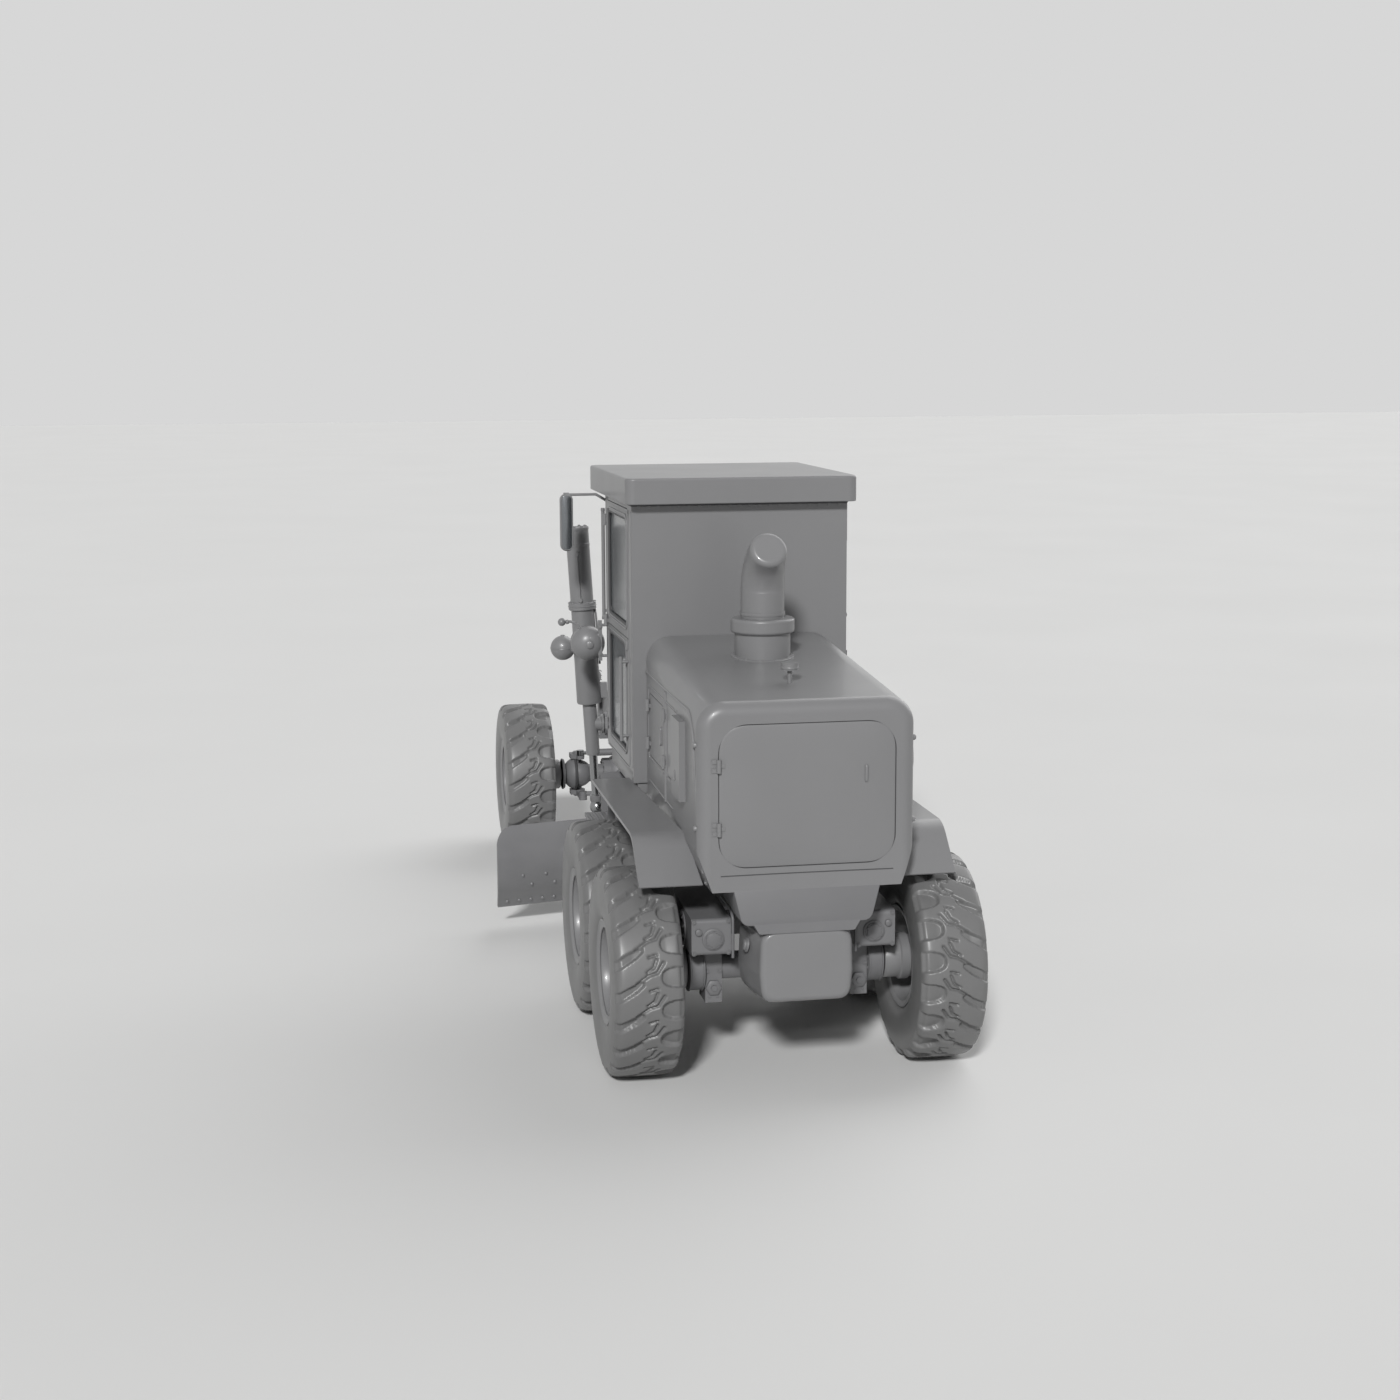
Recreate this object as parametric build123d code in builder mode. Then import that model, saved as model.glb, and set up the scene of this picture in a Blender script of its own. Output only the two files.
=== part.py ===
import math
import os

from build123d import *

os.makedirs("parts", exist_ok=True)

# The frame: +X forward, +Y to the left, +Z up, millimetres.
# The origin is on the ground, on the centre line, halfway along the machine.

# Running clearances
pin_gap = 0.3
seat_gap = 0.3
panel_gap = 6.0

# Length over all and axle places
rear_x = -4488.0
nose_x = 4488.0
rear_axle_x = -3740.0
tandem_pitch = 1571.0
front_axle_x = 3563.0
mid_axle_x = rear_axle_x + tandem_pitch
tandem_x = rear_axle_x + tandem_pitch / 2
axle_z = 745.0
wheel_y = 1075.0

# Tyres: flat-sided casing with one lug on each facet, and one between, across each half of the tread
tyre_facets = 20
lug_top = 740.0
lug_root = 640.0
lug_half = 55.0
lug_root_half = 66.0
tread_base = 698.0
tread_half = 235.0
shoulder_r = 655.0
sidewall_r = 480.0
tyre_half = 250.0
bead_r = 358.0
bead_half = 200.0
rim_seat_r = 330.0

# Wheels
rim_facets = 40
rim_bore_r = 306.0
flange_r = 352.0
flange_t = 18.0
disc_from = 18.0
disc_t = 26.0
hub_r = 150.0
hub_in = 355.0
hub_cap_r = 105.0
hub_cap_out = 62.0
spindle_r = 60.0
spindle_end = 20.0

# Rear bogie
beam_y = (450.0, 730.0)
beam_end_z = (920.0, 1180.0)
beam_mid_top = 1215.0
beam_slope = 420.0
beam_rear_x = -4090.0
beam_front_x = -1820.0
beam_cap_r = 62.0
beam_cap_y = 576.0
beam_cap_z = 1035.0
pivot_z = 1050.0
pivot_r = 105.0
axle_tube_r = 95.0
diff_r = 190.0
clamp_y = (470.0, 590.0)
clamp_x_half = 115.0
clamp_bottom = 510.0
brake_y = (600.0, 700.0)
brake_r = 165.0

# Main frame
girder_z = (1255.0, 1460.0)
girder_top_half = 500.0
girder_bottom_half = 440.0
girder_front_x = -900.0
deck_half = 560.0
cross_member_w = 160.0
cross_member_half = 640.0
hanger_y = (260.0, 400.0)
hanger_half = 150.0
ledge_z = 1165.0
ledge_top_half = 386.0
ledge_bottom_half = 335.0
ledge_front_x = -4010.0
neck_half = 160.0
neck_rear_x = -1500.0
neck_low_rise_x = -700.0
neck_high_rise_x = -150.0
neck_top_z = 2040.0
neck_depth = 400.0
neck_drop_x = 2120.0
neck_foot_x = 2920.0
neck_foot_z = (1250.0, 1580.0)
bolster_z = (1090.0, 1450.0)
bumper_x = 4330.0
bumper_half = 190.0
bumper_z = (960.0, 1460.0)
jaw_z = (1030.0, 1110.0)
jaw_depth = 120.0
lift_arm_y = (neck_half, 770.0)
lift_arm_r = 100.0
lift_barrel_r = 115.0
trunnion_r = 50.0
trunnion_y = 640.0
tow_pin_r = 20.0
tow_pin_back = 60.0
plate_bolt_y = 260.0
plate_bolt_z = 160.0
plate_mid_z = 1320.0
plate_bolt_r = 11.0
plate_bolt_depth = 60.0

# Tank behind the rear axle
tank_front_x = -4030.0
tank_z = (670.0, 1165.0)
tank_half = 386.0
tank_bottom_half = 310.0
tank_side_z = 905.0
tank_top_half = 346.0
tank_round = 105.0
tank_edge = 60.0
tank_rear_edge = 45.0

# Hood
hood_front_x = -2240.0
hood_bottom = 1467.0
hood_rear_half = 756.0
hood_rear_top = 2757.0
hood_front_half = 733.0
hood_front_top = 2923.0
hood_round = 190.0
hood_rear_round = 90.0
hood_wall = 28.0
skirt_z = 1745.0
skirt_half = 658.0

# Cab
cab_rear_x = -2237.0
cab_corner_x = -850.0
cab_front_x = -490.0
cab_half = 838.0
cab_front_half = 550.0
cab_bottom = 1790.0
cab_floor = 1872.0
cab_top = 3934.0
cab_wall = 48.0
roof_x = (-2352.0, -323.0)
roof_half = 896.0
roof_top = 4132.0
roof_corner = 70.0
roof_edge = 18.0
roof_foot_edge = 8.0

# Cab doors, and the panes in them
door_x = (-2030.0, -925.0)
door_z = (1880.0, 3880.0)
door_upper = ((-1960.0, -1005.0), (2976.0, 3800.0))
door_lower = ((-1900.0, -1030.0), (1985.0, 2818.0))
pane_t = 8.0

# Hinges
hinge_pin_r = 8.0
hinge_barrel_r = 16.0
hinge_barrel_h = 90.0
hinge_leaf = 46.0
hinge_leaf_t = 8.0
hinge_leaf_in = 5.0

# Front axle and steering
kingpin_y = 520.0
ball_r = 140.0
cup_r = 172.0
cup_gap = 6.0
front_tube_r = 90.0
axle_pad_top = 1000.0
front_diff_r = 185.0
kingpin_r = 30.0
tie_arm = 320.0
tie_z = 600.0
tie_r = 24.0
tie_pin_r = 15.0
steer_arm = 150.0
steer_z = 985.0
steer_tube_r = 36.0
steer_rod_r = 19.0
steer_base_x = -150.0
steer_bracket_y = (-90.0, -40.0)

# Blade linkage
draw_ball = (3043.0, 0.0, 1180.0)
draw_ball_r = 70.0
draw_neck_r = 45.0
draw_relief = (180.0, 64.0)
draw_z = (1050.0, 1180.0)
circle_x = 600.0
circle_z = (965.0, 1040.0)
circle_r = 700.0
circle_bore_r = 590.0
lift_x = -140.0
lift_pivot_z = 1900.0
lift_foot = (-140.0, 840.0, 1172.0)
lift_head = (-140.0, 985.0, 3600.0)
lift_sleeve_r = 98.0
lift_lower_r = 89.0
lift_collar_r = 118.0
lift_collar_z = (2895.0, 2960.0)
lift_sleeve_foot_z = 2285.0
sphere_at = (0.0, 1100.0, 2550.0)
sphere_r = 106.0
sphere_stub_r = 24.0
lift_neck_r = 52.5
lift_rod_r = 36.0
blade_yaw = 13.0
blade_len = 3400.0
blade_z = (180.0, 930.0)
blade_t = 22.0


def block(x, y, z, mode=Mode.ADD):
    """Add a box from its low and high x, y and z."""
    with Locations((sum(x) / 2, sum(y) / 2, sum(z) / 2)):
        Box(x[1] - x[0], y[1] - y[0], z[1] - z[0], mode=mode)


def rod(start, end, radius, mode=Mode.ADD):
    """Add a round bar from one point to another."""
    run = Vector(end) - Vector(start)
    with Locations(Plane(origin=start, z_dir=run)):
        Cylinder(radius, run.length, align=(Align.CENTER, Align.CENTER, Align.MIN), mode=mode)


def prism(plane, points, amount, round_by=0, mode=Mode.ADD):
    """Add the polygon drawn on a plane, pushed along the plane's normal."""
    with BuildSketch(plane) as profile:
        with BuildLine():
            Polyline(*points, close=True)
        make_face()
        if round_by:
            fillet(profile.vertices(), round_by)
    extrude(profile.sketch, amount=amount, mode=mode)


def side_plate(points, y, round_by=0, mode=Mode.ADD):
    """Add a plate whose side view is a polygon of (x, z), from y[0] to y[1]."""
    prism(Plane.XZ.offset(-y[1]), points, y[1] - y[0], round_by, mode)


def plan_plate(points, z, round_by=0, mode=Mode.ADD):
    """Add a plate whose plan is a polygon of (x, y), from z[0] to z[1]."""
    prism(Plane.XY.offset(z[0]), points, z[1] - z[0], round_by, mode)


def cross_plate(points, x, round_by=0, mode=Mode.ADD):
    """Add a plate whose rear view is a polygon of (y, z), from x[0] to x[1]."""
    prism(Plane.YZ.offset(x[0]), points, x[1] - x[0], round_by, mode)


def window(plane, x, z, amount, round_by, mode=Mode.ADD):
    """Add or cut a round-cornered panel on a plane, from its low and high edges."""
    corners = ((x[0], z[0]), (x[1], z[0]), (x[1], z[1]), (x[0], z[1]))
    prism(plane, corners, amount, round_by, mode)


def ring_drum(sections, facets, mode=Mode.ADD):
    """Add a faceted drum round the Y axis through (place, flat distance) sections."""
    for (y_low, r_low), (y_high, r_high) in zip(sections, sections[1:]):
        with BuildSketch(Plane.XZ.offset(-y_low)) as near:
            RegularPolygon(r_low, facets, major_radius=False, rotation=90 + 180 / facets)
        with BuildSketch(Plane.XZ.offset(-y_high)) as far:
            RegularPolygon(r_high, facets, major_radius=False, rotation=90 + 180 / facets)
        loft([near.sketch.face(), far.sketch.face()], ruled=True, mode=mode)


def mirrored(source):
    """Return the right-hand twin of a left-hand piece."""
    with BuildPart() as twin:
        mirror(source.part, about=Plane.XZ)
    return twin


def placed(source, x, y, z):
    """Return a copy of a piece, moved."""
    with BuildPart() as copy:
        add(source.part.moved(Location((x, y, z))))
    return copy


def write(piece, name):
    """Label a finished piece and write it."""
    piece.part.label = name
    export_step(piece.part, f"parts/{name}.step")


def leaf(axis, along, outward, low, high):
    """Add a hinge leaf from the hinge axis (x, y) along a direction, on the panel's face."""
    x, y = axis
    reach = hinge_leaf
    near, far = -hinge_barrel_r - hinge_leaf_in, -hinge_barrel_r + hinge_leaf_t
    ends_x = sorted((x + outward[0] * near, x + outward[0] * far + along[0] * reach))
    ends_y = sorted((y + outward[1] * near, y + outward[1] * far + along[1] * reach))
    block(ends_x, ends_y, (low, high))


def hinge_fixed(axis, z, along, outward):
    """Add the fixed barrels, leaves and pin of a hinge, centred on a height."""
    x, y = axis
    half = hinge_barrel_h / 2
    for low, high in ((z - half, z - half / 3), (z + half / 3, z + half)):
        rod((x, y, low), (x, y, high), hinge_barrel_r)
        leaf(axis, along, outward, low, high)
    rod((x, y, z - half), (x, y, z + half), hinge_pin_r)


def hinge_moving(axis, z, along, outward):
    """Add the moving barrel and leaf of a hinge, centred on a height, and bore it."""
    x, y = axis
    reach = hinge_barrel_h / 6 - seat_gap
    rod((x, y, z - reach), (x, y, z + reach), hinge_barrel_r)
    leaf(axis, along, outward, z - reach, z + reach)
    rod((x, y, z - reach), (x, y, z + reach), hinge_pin_r + pin_gap, Mode.SUBTRACT)


# Tyre, with +Y outboard
casing = (
    (-tyre_half, sidewall_r),
    (-tread_half, shoulder_r),
    (-tread_half + 30, tread_base),
    (tread_half - 30, tread_base),
    (tread_half, shoulder_r),
    (tyre_half, sidewall_r),
)


lug_profile = (
    (lug_root, -lug_root_half),
    (lug_top, -lug_half),
    (lug_top, lug_half),
    (lug_root, lug_root_half),
)


def toothed_drum(turn, y):
    """Add a drum with a straight lug to each pitch, the first at an angle, from y[0] to y[1]."""
    corners = []
    for step in range(tyre_facets):
        angle = math.radians(turn + step * 360 / tyre_facets)
        out_x, out_z = math.cos(angle), math.sin(angle)
        corners += [(out * out_x - aside * out_z, out * out_z + aside * out_x) for out, aside in lug_profile]
    side_plate(corners, y)


with BuildPart() as tyre:
    ring_drum(casing, tyre_facets)
    toothed_drum(0, (0, tread_half))
    toothed_drum(180 / tyre_facets, (-tread_half, 0))
    ring_drum(((-tyre_half, sidewall_r), (-bead_half, bead_r)), tyre_facets, Mode.SUBTRACT)
    ring_drum(((bead_half, bead_r), (tyre_half, sidewall_r)), tyre_facets, Mode.SUBTRACT)
    ring_drum(((-tyre_half, rim_seat_r), (tyre_half, rim_seat_r)), tyre_facets, Mode.SUBTRACT)

# Wheel disc, barrel and hub, with +Y outboard
with BuildPart() as rim:
    ring_drum(((-bead_half, rim_seat_r), (bead_half, rim_seat_r)), tyre_facets)
    for low in (-bead_half - flange_t, bead_half):
        ring_drum(((low, flange_r), (low + flange_t, flange_r)), rim_facets)
    reach = bead_half + flange_t
    ring_drum(((-reach, rim_bore_r), (disc_from, rim_bore_r)), rim_facets, Mode.SUBTRACT)
    outer_from = disc_from + disc_t
    ring_drum(((outer_from, rim_bore_r), (reach, rim_bore_r)), rim_facets, Mode.SUBTRACT)
    ring_drum(((-hub_in, hub_r), (outer_from, hub_r)), rim_facets)
    ring_drum(((outer_from, hub_cap_r), (hub_cap_out, hub_cap_r)), rim_facets)
    spindle_room = -spindle_end + 5
    rod((0, -hub_in, 0), (0, spindle_room, 0), spindle_r + pin_gap, Mode.SUBTRACT)

wheel_places = (("rear", rear_axle_x), ("mid", mid_axle_x), ("front", front_axle_x))
tyre_right = mirrored(tyre)
rim_right = mirrored(rim)
for name, x in wheel_places:
    write(placed(tyre, x, wheel_y, axle_z), f"tyre_{name}_left")
    write(placed(rim, x, wheel_y, axle_z), f"rim_{name}_left")
    write(placed(tyre_right, x, -wheel_y, axle_z), f"tyre_{name}_right")
    write(placed(rim_right, x, -wheel_y, axle_z), f"rim_{name}_right")

# Rear and middle driving axles, clamped under the walking beams
with BuildPart() as rear_axles:
    for x in (rear_axle_x, mid_axle_x):
        rod((x, -brake_y[0], axle_z), (x, brake_y[0], axle_z), axle_tube_r)
        with Locations((x, 0, axle_z)):
            Sphere(diff_r)
        for side in (-1, 1):
            rod((x, side * brake_y[0], axle_z), (x, side * brake_y[1], axle_z), brake_r)
            inner = side * brake_y[1]
            rod((x, inner, axle_z), (x, side * (wheel_y - spindle_end), axle_z), spindle_r)
            clamp = sorted((side * clamp_y[0], side * clamp_y[1]))
            block((x - clamp_x_half, x + clamp_x_half), clamp, (clamp_bottom, beam_end_z[0]))
write(rear_axles, "rear_axles")

# Walking beams: deep at the pivot, tapered to both ends, each with an end cap
beam_side = (
    (beam_rear_x, beam_end_z[0]),
    (beam_front_x, beam_end_z[0]),
    (beam_front_x, beam_end_z[1]),
    (tandem_x + beam_slope, beam_mid_top),
    (tandem_x - beam_slope, beam_mid_top),
    (beam_rear_x, beam_end_z[1]),
)
beam_cap_out = 22.0
beam_caps_x = ((beam_rear_x - beam_cap_out, beam_rear_x), (beam_front_x, beam_front_x + beam_cap_out))
pivot_cap_out = 30.0
with BuildPart() as walking_beams:
    side_plate(beam_side, beam_y, 30)
    side_plate(beam_side, (-beam_y[1], -beam_y[0]), 30)
    for side in (-1, 1):
        cap_y = side * beam_cap_y
        for low, high in beam_caps_x:
            rod((low, cap_y, beam_cap_z), (high, cap_y, beam_cap_z), beam_cap_r)
        outer = side * beam_y[1]
        rod((tandem_x, outer, pivot_z), (tandem_x, outer + side * pivot_cap_out, pivot_z), pivot_r)
write(walking_beams, "walking_beams")

# Rear frame: girder, ledge for the tank, deck under the hood, and cross members under the cab
with BuildPart() as main_frame:
    girder = (
        (-girder_bottom_half, girder_z[0]),
        (girder_bottom_half, girder_z[0]),
        (girder_top_half, girder_z[1]),
        (-girder_top_half, girder_z[1]),
    )
    cross_plate(girder, (rear_x, girder_front_x), 12)
    ledge = (
        (-ledge_bottom_half, ledge_z),
        (ledge_bottom_half, ledge_z),
        (ledge_top_half, girder_z[0]),
        (-ledge_top_half, girder_z[0]),
    )
    cross_plate(ledge, (rear_x, ledge_front_x))
    block((rear_x + 20, hood_front_x), (-deck_half, deck_half), (girder_z[1], hood_bottom))
    for x in (cab_rear_x + 120, cab_corner_x - 260):
        block((x, x + cross_member_w), (-cross_member_half, cross_member_half), (girder_z[1], cab_bottom))
    # Hangers and cross shaft of the walking beams
    rod((tandem_x, -beam_y[0], pivot_z), (tandem_x, beam_y[0], pivot_z), pivot_r)
    for side in (-1, 1):
        hanger = sorted((side * hanger_y[0], side * hanger_y[1]))
        block((tandem_x - hanger_half, tandem_x + hanger_half), hanger, (pivot_z - 40, girder_z[0]))
write(main_frame, "main_frame")

# Front frame: arched neck from the girder to the nose, with the arms that carry the lift cylinders
neck_low = (
    (neck_rear_x, girder_z[0]),
    (neck_low_rise_x, girder_z[0]),
    (neck_high_rise_x - 150, neck_top_z - neck_depth),
    (neck_drop_x - 120, neck_top_z - neck_depth),
    (neck_foot_x, neck_foot_z[0]),
    (front_axle_x - 330, bolster_z[0]),
    (nose_x, bolster_z[0]),
)
neck_high = (
    (nose_x, bolster_z[1]),
    (front_axle_x - 330, bolster_z[1]),
    (neck_foot_x, neck_foot_z[1]),
    (neck_drop_x, neck_top_z),
    (neck_high_rise_x, neck_top_z),
    (neck_low_rise_x - 60, girder_z[1]),
    (neck_rear_x, girder_z[1]),
)
axle_pad_x = (front_axle_x - 110, front_axle_x + 110)
axle_pad_half = 130.0
jaw_back_x = nose_x - jaw_depth
with BuildPart() as front_frame:
    side_plate(neck_low + neck_high, (-neck_half, neck_half), 40)
    split(bisect_by=Plane.YZ.offset(girder_front_x), keep=Keep.TOP)
    split(bisect_by=Plane.YZ.offset(bumper_x), keep=Keep.BOTTOM)
    block((bumper_x, jaw_back_x), (-bumper_half, bumper_half), bumper_z)
    for side in (-1, 1):
        inner = (lift_x, side * (neck_half - 10), lift_pivot_z)
        outer = (lift_x, side * lift_arm_y[1], lift_pivot_z)
        rod(inner, outer, lift_arm_r)
        rod((lift_x, side * trunnion_y, lift_pivot_z), outer, trunnion_r + pin_gap, Mode.SUBTRACT)
    # Pivot block of the front axle, and the socket of the drawbar ball
    block(axle_pad_x, (-axle_pad_half, axle_pad_half), (axle_pad_top, bolster_z[0] + 60))
    ball_x, ball_y, ball_z = draw_ball
    block((ball_x - 12, ball_x + 120), (-100, 100), (ball_z - 95, neck_foot_z[0] + 60))
    with Locations(draw_ball):
        Sphere(draw_ball_r + pin_gap, mode=Mode.SUBTRACT)
    relief_len, relief_r = draw_relief
    rod(draw_ball, (ball_x - relief_len, ball_y, ball_z), relief_r, Mode.SUBTRACT)
write(front_frame, "front_frame")

# Nose: a block and a lower lip on the end plate, with the tow jaw between them
with BuildPart() as nose_block:
    for z in ((bumper_z[0], jaw_z[0]), (jaw_z[1], bumper_z[1])):
        block((jaw_back_x, nose_x), (-bumper_half, bumper_half), z)
    pin_x = nose_x - tow_pin_back
    rod((pin_x, 0, bumper_z[0] - 1), (pin_x, 0, bumper_z[1] + 1), tow_pin_r, Mode.SUBTRACT)
    for y in (-plate_bolt_y / 2, plate_bolt_y / 2):
        for z in (plate_mid_z - plate_bolt_z / 2, plate_mid_z + plate_bolt_z / 2):
            rod((nose_x - plate_bolt_depth, y, z), (nose_x + 1, y, z), plate_bolt_r, Mode.SUBTRACT)
write(nose_block, "nose_block")

# Tank under the rear of the frame, well rounded below
with BuildPart() as rear_tank:
    tank = (
        (-tank_bottom_half, tank_z[0]),
        (tank_bottom_half, tank_z[0]),
        (tank_half, tank_side_z),
        (tank_top_half, tank_z[1]),
        (-tank_top_half, tank_z[1]),
        (-tank_half, tank_side_z),
    )
    with BuildSketch(Plane.YZ.offset(rear_x)) as section:
        with BuildLine():
            Polyline(*tank, close=True)
        make_face()
        fillet(section.vertices().sort_by(Axis.Y)[:2], tank_round)
        fillet(section.vertices().sort_by(Axis.Y)[-2:], tank_edge)
    extrude(section.sketch, amount=tank_front_x - rear_x)
    fillet(rear_tank.faces().sort_by(Axis.X)[0].edges(), tank_rear_edge)
write(rear_tank, "rear_tank")


hood_top_plane = Plane(
    origin=(hood_front_x, 0, hood_front_top),
    x_dir=(hood_front_x - rear_x, 0, hood_front_top - hood_rear_top),
    z_dir=(hood_rear_top - hood_front_top, 0, hood_front_x - rear_x),
)


def hood_body(inset, low):
    """Return the hood's outer form, or the room inside it, drawn in by an inset."""
    rear, front = rear_x + inset, hood_front_x - inset
    rear_half, front_half = hood_rear_half - inset, hood_front_half - inset
    plan = ((rear, -rear_half), (front, -front_half), (front, front_half), (rear, rear_half))
    with BuildPart() as body:
        plan_plate(plan, (low, hood_front_top + 100))
        split(bisect_by=hood_top_plane.offset(-inset), keep=Keep.BOTTOM)
        shoulders = body.faces().sort_by(Axis.Z)[-1].edges().sort_by(SortBy.LENGTH)[-2:]
        fillet(shoulders, hood_round - inset)
        rear_outline = body.faces().sort_by(Axis.X)[0].edges().sort_by(Axis.Z)[1:]
        fillet(rear_outline, hood_rear_round - inset)
        # The foot of both sides draws in
        for side in (-1, 1):
            outside = side * (hood_rear_half + 50)
            skirt = ((side * (rear_half + 1), skirt_z), (outside, skirt_z), (outside, low - 1),
                     (side * (skirt_half - inset), low - 1))
            cross_plate(skirt, (rear - 1, front + 1), 0, Mode.SUBTRACT)
    return body.part


hood_side_plane = Plane(
    origin=(rear_x, hood_rear_half, 0),
    x_dir=(hood_front_x - rear_x, hood_front_half - hood_rear_half, 0),
    z_dir=(hood_front_half - hood_rear_half, rear_x - hood_front_x, 0),
)
rear_door_y = (-610.0, 610.0)
rear_door_z = (1634.0, 2607.0)
rear_door_round = 200.0
side_doors = (
    # name, low x, high x, low z, high z
    ("front", -3050.0, -2390.0, 2040.0, 2510.0),
    ("rear", -3640.0, -3160.0, 2040.0, 2560.0),
)
rear_hinge = (rear_x - hinge_barrel_r, rear_door_y[1] + 3)
rear_hinge_z = (rear_door_z[0] + 270, rear_door_z[1] - 270)
cab_hinge = (door_x[1] + 3, cab_half + hinge_barrel_r)
cab_hinge_z = (door_z[0] + 160, 2897.0, door_z[1] - 160)


def side_hinge(x, side):
    """Return the hinge axis (x, y) of a side door whose front edge is at x."""
    share = (x - rear_x) / (hood_front_x - rear_x)
    face = hood_rear_half + (hood_front_half - hood_rear_half) * share
    return x + 3, side * (face + hinge_barrel_r)


bar_x = (-4000.0, -3690.0)
bar_z = (2000.0, 2560.0)
bar_proud = 40.0
side_hinge_in = 90.0

with BuildPart() as side_openings:
    for name, low_x, high_x, low_z, high_z in side_doors:
        along = (low_x - rear_x - panel_gap, high_x - rear_x + panel_gap)
        up = (low_z - panel_gap, high_z + panel_gap)
        window(hood_side_plane.offset(-60), along, up, 60 + 2 * hood_wall, 40)
    mirror(about=Plane.XZ)

hood_outside = hood_body(0, hood_bottom)
hood_inside = hood_body(hood_wall, hood_bottom - 10)

# Hood, hollow, open at the rear door and at the four side doors
with BuildPart() as engine_hood:
    add(hood_outside)
    add(hood_inside, mode=Mode.SUBTRACT)
    cut_y = (rear_door_y[0] - panel_gap, rear_door_y[1] + panel_gap)
    cut_z = (rear_door_z[0] - panel_gap, rear_door_z[1] + panel_gap)
    window(Plane.YZ.offset(rear_x - 5), cut_y, cut_z, hood_wall + 10, rear_door_round, Mode.SUBTRACT)
    add(side_openings.part, mode=Mode.SUBTRACT)
    for side in (-1, 1):
        proud = sorted((side * (hood_front_half + 15), side * (hood_rear_half + bar_proud)))
        block(bar_x, proud, bar_z)
    # Fixed halves of the hinges
    for z in rear_hinge_z:
        hinge_fixed(rear_hinge, z, (0, 1), (-1, 0))
    for name, low_x, high_x, low_z, high_z in side_doors:
        for z in (low_z + side_hinge_in, high_z - side_hinge_in):
            hinge_fixed(side_hinge(high_x, 1), z, (1, 0), (0, 1))
            hinge_fixed(side_hinge(high_x, -1), z, (1, 0), (0, -1))
write(engine_hood, "engine_hood")

# Rear door of the hood, with its upright latch
latch_y = -403.0
latch_z = (2190.0, 2315.0)
latch_half = 20.0
with BuildPart() as hood_rear_door:
    window(Plane.YZ.offset(rear_x), rear_door_y, rear_door_z, hood_wall, rear_door_round)
    for z in rear_hinge_z:
        hinge_moving(rear_hinge, z, (0, -1), (-1, 0))
    latch = (latch_y - latch_half, latch_y + latch_half)
    window(Plane.YZ.offset(rear_x - 22), latch, latch_z, 24, latch_half - 1)
write(hood_rear_door, "hood_rear_door")

# Side doors of the hood, each with an oval handle near its rear edge
handle_from_edge = 110.0
handle_half = (22.0, 70.0)
handle_proud = 14.0
for name, low_x, high_x, low_z, high_z in side_doors:
    with BuildPart() as side_door:
        along = (low_x - rear_x, high_x - rear_x)
        window(hood_side_plane, along, (low_z, high_z), hood_wall, 34)
        grip = low_x - rear_x + handle_from_edge
        middle = (low_z + high_z) / 2
        wide, tall = handle_half
        window(hood_side_plane.offset(-handle_proud), (grip - wide, grip + wide),
               (middle - tall, middle + tall), handle_proud + 2, wide - 2)
        for z in (low_z + side_hinge_in, high_z - side_hinge_in):
            hinge_moving(side_hinge(high_x, 1), z, (-1, 0), (0, 1))
    write(side_door, f"hood_door_{name}_left")
    write(mirrored(side_door), f"hood_door_{name}_right")

# Engine, one plain block on the frame under the hood
with BuildPart() as engine_block:
    block((-3950, -2700), (-330, 330), (hood_bottom, 2250))
write(engine_block, "engine_block")

# Fenders: a flat top over both rear wheels, bent down to a sloped flap behind
fender_t = 12.0
fender_top = 1757.0
fender_y = (640.0, 1120.0)
fender_bend = 90.0
fender_side = (
    (-4240.0, 1457.0),
    (-3940.0, fender_top - fender_t),
    (-1910.0, fender_top - fender_t),
    (-1910.0, fender_top),
    (-3946.0, fender_top),
    (-4250.0, 1464.0),
)
brace_w = 60.0
brace_depth = 50.0
with BuildPart() as fenders:
    with BuildSketch(Plane.XZ.offset(-fender_y[1])) as bent:
        with BuildLine():
            Polyline(*fender_side, close=True)
        make_face()
        for corner, radius in ((fender_side[4], fender_bend), (fender_side[1], fender_bend - fender_t)):
            fillet(bent.vertices().sort_by_distance(corner)[0], radius)
    extrude(bent.sketch, amount=fender_y[1] - fender_y[0])
    # Braces under the top, cut to the hood's side
    under = fender_top - fender_t
    for x in (-3700.0, -2340.0):
        block((x, x + brace_w), (fender_y[0], fender_y[1] - brace_w), (under - brace_depth, under))
    add(hood_outside, mode=Mode.SUBTRACT)
    mirror(about=Plane.XZ)
write(fenders, "fenders")

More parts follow.
